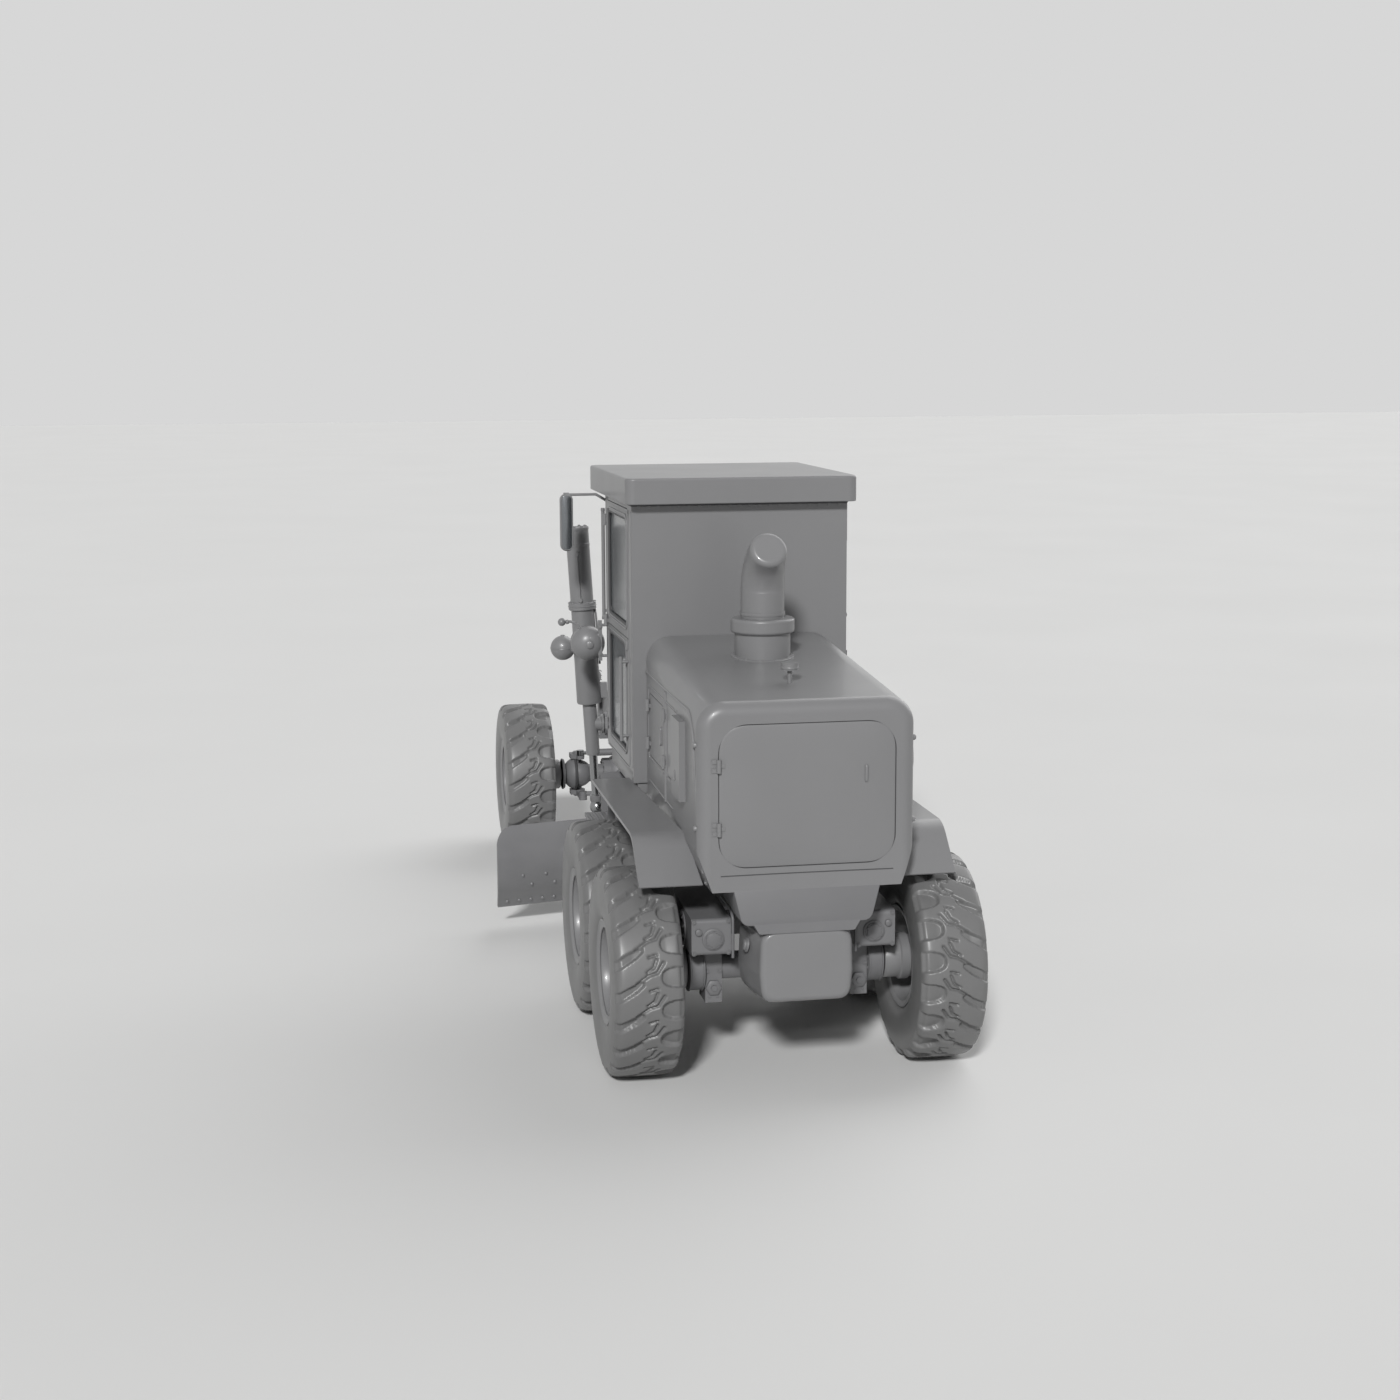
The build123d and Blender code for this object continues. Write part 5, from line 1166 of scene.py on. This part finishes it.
    def build(self) -> None:
        """Build the fittings of both sides."""
        for side, sign in SIDES:
            tube, rod = self.tube(), self.rod()
            self.plumbing(tube)
            if sign < 0:
                tube.flip()
                rod.flip()
            tube.stand(f"lift_tube_fittings_{side}", BODY_ENAMEL, f"lift_tube_{side}", body=f"lift_tube_{side}")
            rod.stand(f"lift_rod_fittings_{side}", CAST_ENAMEL, body=f"lift_rod_{side}")


@dataclass
class Fenders:
    """Bent plates over the bogie's wheels, narrower inside towards the front, with a rolled outer edge."""

    outer_y: float = 1.12
    inner: tuple[Point, ...] = ((-4.3, 0.672), (-4.05, 0.728), (-3.824, 0.756), (-1.924, 0.826), (-1.9, 0.827))
    top_z: float = 1.763
    front_x: float = -1.91
    flat_x: float = -3.7
    knee_x: float = -3.93
    foot: Point = (-4.25, 1.468)
    bend: float = 0.42
    thick: float = 0.012

    def inside(self, x: float) -> float:
        """Return where the inner edge is at a place along the machine."""
        return float(np.interp(x, *zip(*self.inner)))

    def build(self) -> None:
        """Build both sides in place of their CAD node."""
        flat = Vector((self.flat_x, self.top_z))
        path = [Vector((self.front_x, self.top_z)).lerp(flat, k / 14) for k in range(14)]
        path += bend([flat, (self.knee_x, self.top_z), self.foot], self.bend, 16)
        outer = self.outer_y
        rows = []
        for p, ahead in zip(path, tangents(path)):
            up = Vector((ahead.y, -ahead.x)) * self.thick / 2
            inside = self.inside(p.x)
            ring = [(inside, 1), (inside - 0.004, 0), (inside, -1), (outer - 0.01, -1), (outer - 0.006, -2.4),
                    (outer, -2.4), (outer + 0.001, -1), (outer - 0.003, 1), (outer - 0.01, 1)]
            rows.append([(p.x + up.x * share, y, p.y + up.y * share) for y, share in ring])
        shape = Shape().grid(rows)
        shape.sweep([(p.x, self.inside(p.x) - 0.001, p.y) for p in path], 0.0065, 8)
        for x in (-3.6, -2.45):
            y = self.inside(x)
            bracket = [(y - 0.16, 1.7), (y + 0.01, 1.757), (outer - 0.03, 1.757), (y - 0.02, 1.64), (y - 0.16, 1.6)]
            shape.prism(bracket, facing((x, 0, 0), X), 0.012, 0.002)
        shape.twin().stand("fender_plates", BODY_ENAMEL, "fenders", crease=50)


@dataclass
class RearFrame:
    """Caps, covers, clamps, bolts and pipes of the bogie and the rear axles, and the pan over the girder's tail."""

    beam_ends: Point = (-4.112, -1.798)
    beam_outer: float = 0.73
    beam_z: float = 1.035
    axles: Point = (AXLES["rear"], AXLES["mid"])
    pivot: Point = (-2.9545, 0.76, 1.05)

    def beam_caps(self, shape: Shape) -> None:
        """Add the end caps of the left walking beam."""
        for x, way in zip(self.beam_ends, (-X, X)):
            end, inset = (x, 0.576, self.beam_z), x - way.x * 0.022
            shape.lathe(((-0.022, 0.078), (-0.014, 0.078), (-0.01, 0.07)), end, way, 40)
            shape.lathe(((-0.002, 0.056), (0.006, 0.052), (0.01, 0.04), (0.01, 0)), end, way, 36)
            shape.ring_bolts((x + way.x * 0.001, *end[1:]), way, 0.05, 6, 0.013)
            shape.lathe(((-0.004, 0.026), (0.016, 0.024), (0.02, 0.018), (0.02, 0)), (inset, 0.68, 1.09), way, 24)
            shape.bolts([(inset, *p) for p in rect((0.468, 0.938), (0.712, 1.16))], way, 0.018)

    def axle_side(self, shape: Shape, x: float) -> None:
        """Add the left covers, clamps, caps and bolts of one axle."""
        out = self.beam_outer
        shape.lathe(((-0.004, 0.128), (0.008, 0.126), (0.012, 0.118), (0.012, 0)), (x, out, 1.04), Y, 48)
        shape.ring_bolts((x, out + 0.011, 1.04), Y, 0.106, 10, 0.018)
        for z, way in ((0.905, Z), (0.545, -Z)):
            shape.bolts([(x + dx, y, z) for dx in (-0.095, 0.095) for y in (0.5, 0.56)], way, 0.024)
        plug = ((-0.004, 0.062), (0.018, 0.058), (0.024, 0.048), (0.024, 0.026), (0.034, 0.024), (0.034, 0))
        for face, way, sides in ((x - 0.115, -X, 6), (x + 0.115, X, 24)):
            shape.lathe(plug, (face, 0.53, 0.62), way, sides)
            shape.bolts([(face, y, z) for y in (0.486, 0.574) for z in (0.74, 0.88)], way, 0.02)
        for y in (0.602, 0.698):
            shape.lathe(band(0.008, 0.164, 0.004, 0.171), (x, y, AXLE_Z), Y, 56)
        shape.ring_bolts((x, 0.6, AXLE_Z), -Y, 0.135, 10, 0.02)

    def differential(self, shape: Shape, x: float) -> None:
        """Add the middle ring, plug and brake pipes of one axle."""
        ring = ((-0.03, 0.17), (-0.026, 0.204), (0, 0.206), (0.026, 0.204), (0.03, 0.17))
        shape.lathe(ring, (x, 0.045, AXLE_Z), Y, 56)
        for y, way in ((0.071, Y), (0.017, -Y)):
            shape.ring_bolts((x, y, AXLE_Z), way, 0.19, 14, 0.02)
        shape.lathe(((0.18, 0.02), (0.205, 0.018), (0.21, 0)), (x, 0, AXLE_Z), -Z, 8)
        for y in (-0.5, 0.5):
            shape.sweep([(x, y * 0.62, 0.84), (x, y * 0.9, 0.842)], 0.008, 8)

    def bogie(self) -> None:
        """Build the fittings of the walking beams and the rear axles."""
        shape = Shape()
        self.beam_caps(shape)
        for x in self.axles:
            self.axle_side(shape, x)
        shape.lathe(((-0.004, 0.1), (0.006, 0.096), (0.008, 0.06), (0.014, 0.055), (0.014, 0)), self.pivot, Y, 48)
        shape.ring_bolts(Vector(self.pivot) + Y * 0.006, Y, 0.08, 8, 0.022)
        pipe = [(-4.104, 0.44, 0.9), (-4.104, 0.44, 1.18), (-4.06, 0.446, 1.236), (-3.7, 0.446, 1.236)]
        shape.sweep(bend(pipe, 0.04, 5), 0.011, 10)
        line = [(-3.64, 0.38, 1.225), (-2.4, 0.38, 1.225), (-2.3, 0.33, 1.15), (-2.169, 0.3, 0.86)]
        shape.sweep(bend(line, 0.05, 5), 0.009, 8)
        shape.twin()
        for x in self.axles:
            self.differential(shape, x)
        shape.stand("bogie_fittings", CAST_ENAMEL)

    def girder(self) -> None:
        """Build the girder's bolts, tail pan, collar bead, and the tank's plug and filler."""
        shape = Shape()
        for side in (-1, 1):
            shape.bolts([(x, side * 0.5, 1.445) for x in np.arange(-4.3, -1, 0.42)], Y * side, 0.016)
        pan = bend([(-0.515, 1.48), (-0.452, 1.222), (0.452, 1.222), (0.515, 1.48)], 0.075, 6)
        shape.prism(pan, facing((-4.4895, 0, 0), X), 0.33, 0.014)
        shape.sweep([(-4.484, y, 1.165) for y in (-0.325, 0.325)], 0.005, 6)
        shape.lathe(((-0.002, 0.026), (0.012, 0.026), (0.016, 0.02), (0.016, 0)), (-4.26, 0, 0.672), -Z, 6)
        shape.lathe(((-0.004, 0.052), (0.01, 0.05), (0.014, 0.042), (0.026, 0.04), (0.03, 0.034), (0.03, 0)),
                    (-4.25, 0.371, 1.03), Vector((0, 1, 0.18)), 32)
        shape.stand("rear_fittings", PLATE_ENAMEL)

    def build(self) -> None:
        """Build the fittings of the bogie and of the girder."""
        self.bogie()
        self.girder()


@dataclass
class Tank:
    """The fuel tank under the tail: a soft-cornered box that widens towards the front."""

    x: Point = (-4.488, -4.03)
    half: Point = (0.33, 0.386)
    z: Point = (0.67, 1.166)
    bottom_round: float = 0.1
    edge: float = 0.045

    def ring(self, x: float, half: float, inset: float) -> list[Point]:
        """Return the section at a place along the tank, drawn in by an inset."""
        wide, low, high = half - inset, self.z[0] + inset, self.z[1] - 0.3 * inset
        right = [(wide * 0.94, low), (wide, low + 0.2), (wide * 0.97, high)]
        corners = [(-right[0][0], low), *right, *((-y, z) for y, z in right[:0:-1])]
        return [(x, *p) for p in rounded(corners, self.bottom_round - inset * 0.5, 8)]

    def build(self) -> None:
        """Build the tank in place of its CAD node."""
        (rear, front), (narrow, wide), edge = self.x, self.half, self.edge
        rows = [self.ring(rear + edge * (1 - math.sin(t)), narrow, edge * (1 - math.cos(t)))
                for t in np.linspace(math.pi / 2, 0, 9)]
        rows += [self.ring(rear + edge + (front - rear - edge) * share,
                           narrow + (wide - narrow) * math.sin(share * math.pi / 2), 0)
                 for share in (k / 8 for k in range(1, 9))]
        Shape().grid(rows).stand("fuel_tank", BODY_ENAMEL, "rear_tank", crease=60)


@dataclass
class FrontFrame:
    """Bearing blocks, pipes, clips and bolts of the arched neck and the nose."""

    arm: Point = (-0.14, 0.655, 1.9)
    neck_y: float = 0.172
    pipe_run: tuple[Point, ...] = ((-0.9, 1.38), (-0.7, 1.4), (-0.24, 1.9), (2.08, 1.9), (2.9, 1.47), (3.3, 1.33))

    def bearings(self, shape: Shape) -> None:
        """Add the left arm's bearing block, flange and port."""
        x, y, z = self.arm
        shape.slab((x - 0.118, y - 0.085, z - 0.118), (x + 0.118, y + 0.085, z + 0.118), 0.022, 3)
        for face, way in ((x - 0.118, -X), (x + 0.118, X)):
            shape.bolts([(face, y + a, z + b) for a in (-0.055, 0.055) for b in (-0.08, 0.08)], way, 0.026)
        shape.lathe(((-0.02, 0.17), (0, 0.17), (0.03, 0.108), (0.034, 0.1)), (x, self.neck_y, z), Y, 44)
        shape.ring_bolts((x, self.neck_y, z), Y, 0.142, 10, 0.02)
        port = ((0.118, 0.06), (0.15, 0.075), (0.15, 0.15))
        shape.sweep([(x - back, y - 0.02, z - down) for back, down in port], 0.012, 8)

    def build(self) -> None:
        """Build the fittings of both sides."""
        shape = Shape()
        self.bearings(shape)
        shape.twin()
        for drop in (0, 0.034, 0.068):
            shape.sweep(bend([(x, self.neck_y, z - drop) for x, z in self.pipe_run], 0.12, 6), 0.0105, 8)
        for x in (0.25, 0.95, 1.65):
            shape.slab((x - 0.018, 0.158, 1.805), (x + 0.018, 0.188, 1.925))
        for side in (-1, 1):
            for y, xs, zs, across in ((0.16, (3.42, 3.56, 3.7), (1.14, 1.4), 0.03),
                                      (0.19, (4.349,), (1.0, 1.2, 1.4), 0.02),
                                      (0.1, (3.06, 3.13), (1.11, 1.19, 1.27), 0.022)):
                shape.bolts([(x, side * y, z) for x in xs for z in zs], Y * side, across)
        ball_ring = ((0.068, 0.084), (0.074, 0.1), (0.098, 0.1), (0.104, 0.09), (0.104, 0.072))
        shape.lathe(ball_ring, (3.135, 0, 1.18), -X, 40)
        shape.stand("neck_fittings", PLATE_ENAMEL)


@dataclass
class FrontAxle:
    """Covers, seals, bolts and rod ends of the front axle."""

    x: float = AXLES["front"]
    z: float = AXLE_Z
    kingpin_y: float = 0.52
    ball_r: float = 0.214
    tie_rod: Point = (3.243, 0.592)
    clamp_y: float = 0.35

    def housing(self) -> None:
        """Build the rings and the pinion nose of the housing."""
        axle = Shape().lathe(band(0.024, 0.186, 0.02, 0.203), (self.x, 0.09, self.z), Y, 56)
        for way in (-1, 1):
            axle.ring_bolts((self.x, 0.09 + way * 0.02, self.z), Y * way, 0.194, 16, 0.018)
            axle.ring_bolts((self.x, way * 0.27, self.z), Y * way, 0.126, 12, 0.018)
        pinion = ((0.14, 0.07), (0.2, 0.066), (0.215, 0.052), (0.25, 0.05), (0.256, 0.06), (0.27, 0.06), (0.27, 0))
        axle.lathe(pinion, (self.x, 0.09, self.z), -X, 36)
        axle.stand("axle_fittings", CAST_ENAMEL)

    def knuckle(self, side: str, sign: int) -> None:
        """Build one knuckle's kingpin caps, its flange and its seal."""
        caps = Shape()
        for way in (Z, -Z):
            top = Vector((self.x, sign * self.kingpin_y, self.z)) + way * self.ball_r
            caps.lathe(((0, 0.063), (0.012, 0.06), (0.018, 0.048), (0.018, 0)), top, way, 36)
            caps.ring_bolts(top + way * 0.01, way, 0.046, 6, 0.015)
            caps.lathe(((0.016, 0.008), (0.026, 0.008), (0.03, 0.005), (0.034, 0.005), (0.034, 0)), top, way, 10)
        caps.lathe(band(0.01, 0.15, 0.006, 0.158), (self.x, sign * 0.69, self.z), Y, 52)
        caps.stand(f"knuckle_caps_{side}", CAST_ENAMEL, body=f"knuckle_{side}")
        boot = Shape().lathe(((-0.004, 0.16), (-0.01, 0.172), (0.006, 0.176), (0.014, 0.17)),
                             (self.x, sign * 0.56, self.z), Y * sign, 56)
        boot.stand(f"knuckle_seal_{side}", SEAL_RUBBER_AND_SHADE, body=f"knuckle_{side}", slot="tyre_rubber")

    def build(self) -> None:
        """Build the fittings of the housing, the knuckles and the tie rod."""
        self.housing()
        for side, sign in SIDES:
            self.knuckle(side, sign)
        rod = Shape()
        x, z = self.tie_rod
        for sign in (-1, 1):
            rod.lathe(band(0.045, 0.025, 0.04, 0.032), (x, sign * self.clamp_y, z), Y, 28)
            rod.bolts([(x - 0.03, sign * (self.clamp_y + d), z) for d in (-0.022, 0.022)], -X, 0.013)
        rod.stand("tie_rod_ends", CAST_ENAMEL, body="tie_rod")


@dataclass
class Blade:
    """The blade: a rolled board with rounded upper corners, its bolts, slide rails, ribs and the shift rod's lug."""

    centre: Point = (0.6, 0)
    yaw: float = 13.0
    half: float = 1.69
    thick: float = 0.022
    corner: float = 0.14
    section: tuple[Point, ...] = (
        (0.166, 0.181), (0.095, 0.27), (-0.02, 0.395), (-0.085, 0.555), (-0.075, 0.69), (-0.005, 0.81), (0.1, 0.93))
    rail_end: float = 1.115
    rail_z: Point = (0.4, 0.7)
    rib_y: Point = (-1.1, -0.085, 0.085, 1.1)
    rib: tuple[Point, ...] = (
        (-0.186, 0.41), (-0.035, 0.41), (-0.096, 0.52), (-0.104, 0.6), (-0.084, 0.7), (-0.05, 0.752), (-0.186, 0.752))
    lug: tuple[Point, ...] = (
        (-0.315, 0.545), (-0.315, 0.625), (-0.18, 0.69), (-0.1, 0.69), (-0.1, 0.48), (-0.18, 0.48))
    # Rows of plough bolts: height, spacing, and the row's shift
    bolt_rows: tuple[Point, ...] = ((0.246, 0.11, 0), (0.42, 0.215, 0), (0.5, 0.215, 0.095))

    def line(self) -> list[tuple[Vector, Vector]]:
        """Return the board's section as places and the way that its back faces, as (x, z) pairs."""
        path = slack(self.section, 7)
        return [(p, Vector((-run.y, run.x))) for p, run in zip(path, tangents(path))]

    def reach(self, p: Vector, left: bool) -> float:
        """Return how far the board goes sideways at a place of its section, to the left or to the right."""
        over = max(0.0, p.y - (self.section[-1][1] - self.corner))
        bulge = 0.3 * (0.11 - p.x) if left else 0.0
        return self.half + bulge - (self.corner - math.sqrt(max(self.corner**2 - over**2, 0.0)))

    def board(self, line: list[tuple[Vector, Vector]]) -> Shape:
        """Skin the board's back and face, and close its ends."""
        rows = []
        for share in np.linspace(-1, 1, 49):
            back = [(p.x, share * self.reach(p, share > 0), p.y) for p, _ in line]
            face = [(x - n.x * self.thick, y, z - n.y * self.thick) for (x, y, z), (_, n) in zip(back, line)]
            rows.append(back + face[::-1])
        shape = Shape().grid(rows, caps=False)
        for row in (rows[0], rows[-1]):
            shape.grid([row[: len(line)], row[len(line) :][::-1]], ring=False)
        bmesh.ops.remove_doubles(shape.bm, verts=shape.bm.verts, dist=1e-5)
        bmesh.ops.recalc_face_normals(shape.bm, faces=shape.bm.faces)
        return shape

    def plough_bolts(self, shape: Shape, line: list[tuple[Vector, Vector]]) -> None:
        """Set the domed heads on the board's back, and their flush plugs in its face."""
        for height, step, shift in self.bolt_rows:
            at, way = min(line, key=lambda item: abs(item[0].y - height))
            normal = Vector((way.x, 0, way.y))
            normal = normal if normal.x < 0 else -normal
            for y in np.arange(-1.59 + shift, 1.62, step):
                head = Vector((at.x, y, at.y))
                shape.lathe(((-0.004, 0.0165), (0.004, 0.016), (0.011, 0.011), (0.013, 0.005), (0.013, 0)),
                            head, normal, 14)
                shape.lathe(((-0.002, 0.015), (0.003, 0.014), (0.004, 0)), head - normal * self.thick, -normal, 14)

    def build(self) -> None:
        """Build the blade in place of its CAD node."""
        line = self.line()
        shape = self.board(line)
        self.plough_bolts(shape, line)
        for low in self.rail_z:
            shape.slab((-0.19, -self.rail_end, low), (-0.075, self.rail_end, low + 0.06), 0.006)
        plates = [(self.rib, y - 0.009, 0.018, 0.003) for y in self.rib_y] + [(self.lug, 1.056, 0.036, 0.006)]
        for outline, y, thick, edge in plates:
            shape.prism([(x, -z) for x, z in outline], facing((0, y, 0), Y, -Z), thick, edge)
        shape.bm.transform(Matrix.Translation((*self.centre, 0)) @ Matrix.Rotation(math.radians(self.yaw), 4, "Z"))
        shape.stand("blade_board", WORN_STEEL, "blade", body="blade", crease=45)


@dataclass
class Circle:
    """Teeth of the ring, and the bolts of the ring and its arms."""

    centre: Point = (0.6, 0, 1.0025)
    bore: float = 0.59
    teeth: int = 72
    tooth_height: float = 0.068
    yaw: float = 13.0

    def ring_teeth(self) -> None:
        """Build the teeth inside the ring."""
        shape = Shape()
        half = math.pi * self.bore / self.teeth * 0.55
        tooth = [(self.bore + 0.004, -half), (self.bore - 0.024, -half * 0.45), (self.bore - 0.024, half * 0.45),
                 (self.bore + 0.004, half)]
        for k in range(self.teeth):
            turn = Matrix.Translation(self.centre) @ Matrix.Rotation(math.tau * k / self.teeth, 4, "Z")
            shape.prism(tooth, turn @ Matrix.Translation((0, 0, -self.tooth_height / 2)), self.tooth_height, 0)
        shape.stand("ring_teeth", CAST_ENAMEL, body="circle")

    def build(self) -> None:
        """Build the ring's teeth, and the bolts of the ring, the arms and the rail clips."""
        self.ring_teeth()
        arms = Shape()
        for way in (1, -1):
            for z in (0.375, 0.785):
                arms.bolts([(x, way * 0.61, z) for x in (-0.13, -0.225)], Y * way, 0.024)
            arms.sweep([(x, way * 0.585, 0.9655) for x in (-0.3, -0.13)], 0.007, 6)
        x, y, _ = self.centre
        arms.bm.transform(Matrix.Translation((x, y, 0)) @ Matrix.Rotation(math.radians(self.yaw), 4, "Z"))
        arms.ring_bolts((x, y, 1.0402), Z, 0.648, 36, 0.022)
        arms.stand("circle_bolts", PLATE_ENAMEL, body="circle")


@dataclass
class Ladders:
    """Grip teeth of the steps, and foot flanges of the hand rails."""

    x: Point = (-1.362, -1.008)
    y: Point = (0.87, 1.052)
    step_z: Point = (0.55, 0.93, 1.31)
    rail: Point = (-0.788, 0.8504)

    def build(self) -> None:
        """Build both sides."""
        shape = Shape()
        for z in self.step_z:
            for x in np.linspace(self.x[0] + 0.02, self.x[1] - 0.02, 9):
                for y in np.linspace(self.y[0] + 0.015, self.y[1] - 0.015, 4):
                    shape.lathe(((-0.002, 0.011), (0.004, 0.01), (0.006, 0.007), (0.006, 0)), (x, y, z), Z, 8)
            shape.sweep([(x, self.y[1] + 0.004, z - 0.008) for x in self.x], 0.008, 8)
        for x in self.x:
            shape.bolts([(x, 0.65, z) for z in (1.58, 1.62)], Y, 0.02)
        (x, y), outward = self.rail, Vector((0.62, 0.78, 0))
        for z in (2.96, 3.73):
            shape.lathe(((-0.006, 0.026), (0.004, 0.026), (0.006, 0.02)), (x, y - 0.058, z), outward, 20)
        for z in (2.9, 3.79):
            shape.lathe(band(0.014, 0.0155, 0.006, 0.0175), (x, y, z), Z, 20)
        shape.twin().stand("step_grips", PLATE_ENAMEL)


@dataclass
class Studio:
    """The camera where the photo was taken from, a pale floor, and soft lights."""

    camera_at: Point = (-18.548, 3.359, 5.092)
    yaw: float = -10.563
    pitch: float = 9.147
    roll: float = -0.245
    focal_px: float = 2184.34
    frame_px: float = 1400.0
    sensor_mm: float = 36.0
    floor_xy: Point = (-140, -40, 40, 140)
    # Where each sun comes from, its strength, and its spread in degrees
    suns: tuple[tuple[str, Point, float, float], ...] = (
        ("key", (-0.81, 0.28, 0.51), 2.7, 7), ("fill", (0.55, -0.62, 0.56), 1.25, 60))

    def camera(self) -> None:
        """Stand the camera at the photo's place."""
        data = bpy.data.cameras.new("camera")
        data.sensor_width = self.sensor_mm
        data.lens = self.focal_px / self.frame_px * data.sensor_width
        data.clip_end = 300
        eye = bpy.data.objects.new("camera", data)
        yaw, pitch, roll = map(math.radians, (self.yaw, self.pitch, self.roll))
        ahead = Vector((math.cos(yaw) * math.cos(pitch), math.sin(yaw) * math.cos(pitch), -math.sin(pitch)))
        level = Vector((math.sin(yaw), -math.cos(yaw), 0))
        up = level.cross(ahead)
        right = level * math.cos(roll) + up * math.sin(roll)
        up = up * math.cos(roll) - level * math.sin(roll)
        turn = Matrix((right, up, -ahead)).transposed()
        eye.matrix_world = Matrix.Translation(self.camera_at) @ turn.to_4x4()
        bpy.context.scene.collection.objects.link(eye)
        bpy.context.scene.camera = eye

    def lights(self) -> None:
        """Set the soft parallel lights."""
        for name, toward, strength, spread in self.suns:
            data = bpy.data.lights.new(name, "SUN")
            data.energy, data.angle = strength, math.radians(spread)
            lamp = bpy.data.objects.new(name, data)
            lamp.matrix_world = Vector(toward).to_track_quat("Z", "Y").to_matrix().to_4x4()
            bpy.context.scene.collection.objects.link(lamp)

    def floor(self) -> None:
        """Lay the large pale floor."""
        shape = Shape().grid([[(x, y, 0) for y in self.floor_xy] for x in self.floor_xy], ring=False)
        floor = bpy.data.objects.new("studio_floor", shape.mesh("studio_floor", STUDIO_FLOOR))
        bpy.context.scene.collection.objects.link(floor)

    def world(self) -> None:
        """Light the scene with a soft sky, and show the floor's paleness behind it and in reflections."""
        world = bpy.data.worlds.new("studio")
        world.use_nodes = True
        tree = world.node_tree
        tree.nodes.clear()
        rays = add_node(tree, "ShaderNodeLightPath").outputs
        clear = add_node(tree, "ShaderNodeMath", {0: rays["Is Glossy Ray"], 1: rays["Is Transmission Ray"]},
                         operation="MAXIMUM")
        seen = add_node(tree, "ShaderNodeMath", {0: rays["Is Camera Ray"], 1: clear.outputs["Value"]},
                        operation="MAXIMUM")
        soft = add_node(tree, "ShaderNodeBackground", {"Color": linear("#f0f0f1"), "Strength": 0.20})
        plain = add_node(tree, "ShaderNodeBackground", {"Color": linear("#d7d7d7"), "Strength": 1.0})
        both = add_node(tree, "ShaderNodeMixShader", {0: seen.outputs["Value"], 1: soft.outputs["Background"],
                                                      2: plain.outputs["Background"]})
        add_node(tree, "ShaderNodeOutputWorld", {"Surface": both.outputs["Shader"]})
        bpy.context.scene.world = world

    def build(self) -> None:
        """Build the studio."""
        self.camera()
        self.lights()
        self.floor()
        self.world()
        bpy.context.scene.view_settings.view_transform = "Standard"


def wheels() -> None:
    """Stand the six tyres and wheels, which share two meshes each."""
    for side, sign in SIDES:
        tyre, wheel = Tyre().build(sign), Wheel().build(sign)
        for axle, x in AXLES.items():
            at = Matrix.Translation((x, sign * WHEEL_Y, AXLE_Z))
            body = f"wheel_{axle}_{side}"
            stand(tyre, f"tread_{axle}_{side}", body, "tyre_rubber", f"tyre_{axle}_{side}", place=at)
            stand(wheel, f"disc_{axle}_{side}", body, "wheel_paint", f"rim_{axle}_{side}", place=at)


def main() -> None:
    """Dress the CAD nodes and build each sub-assembly in order."""
    logging.basicConfig(level=logging.INFO, format="%(message)s")
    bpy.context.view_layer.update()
    dress_nodes()
    wheels()
    for part in (Hood(), Exhaust(), Cab(), Seat(), Console(), Mirrors(), Lamps(), LiftCylinders(), Fenders(),
                 RearFrame(), Tank(), FrontFrame(), FrontAxle(), Blade(), Circle(), Ladders()):
        part.build()
    Studio().build()


if __name__ == "__main__":
    main()
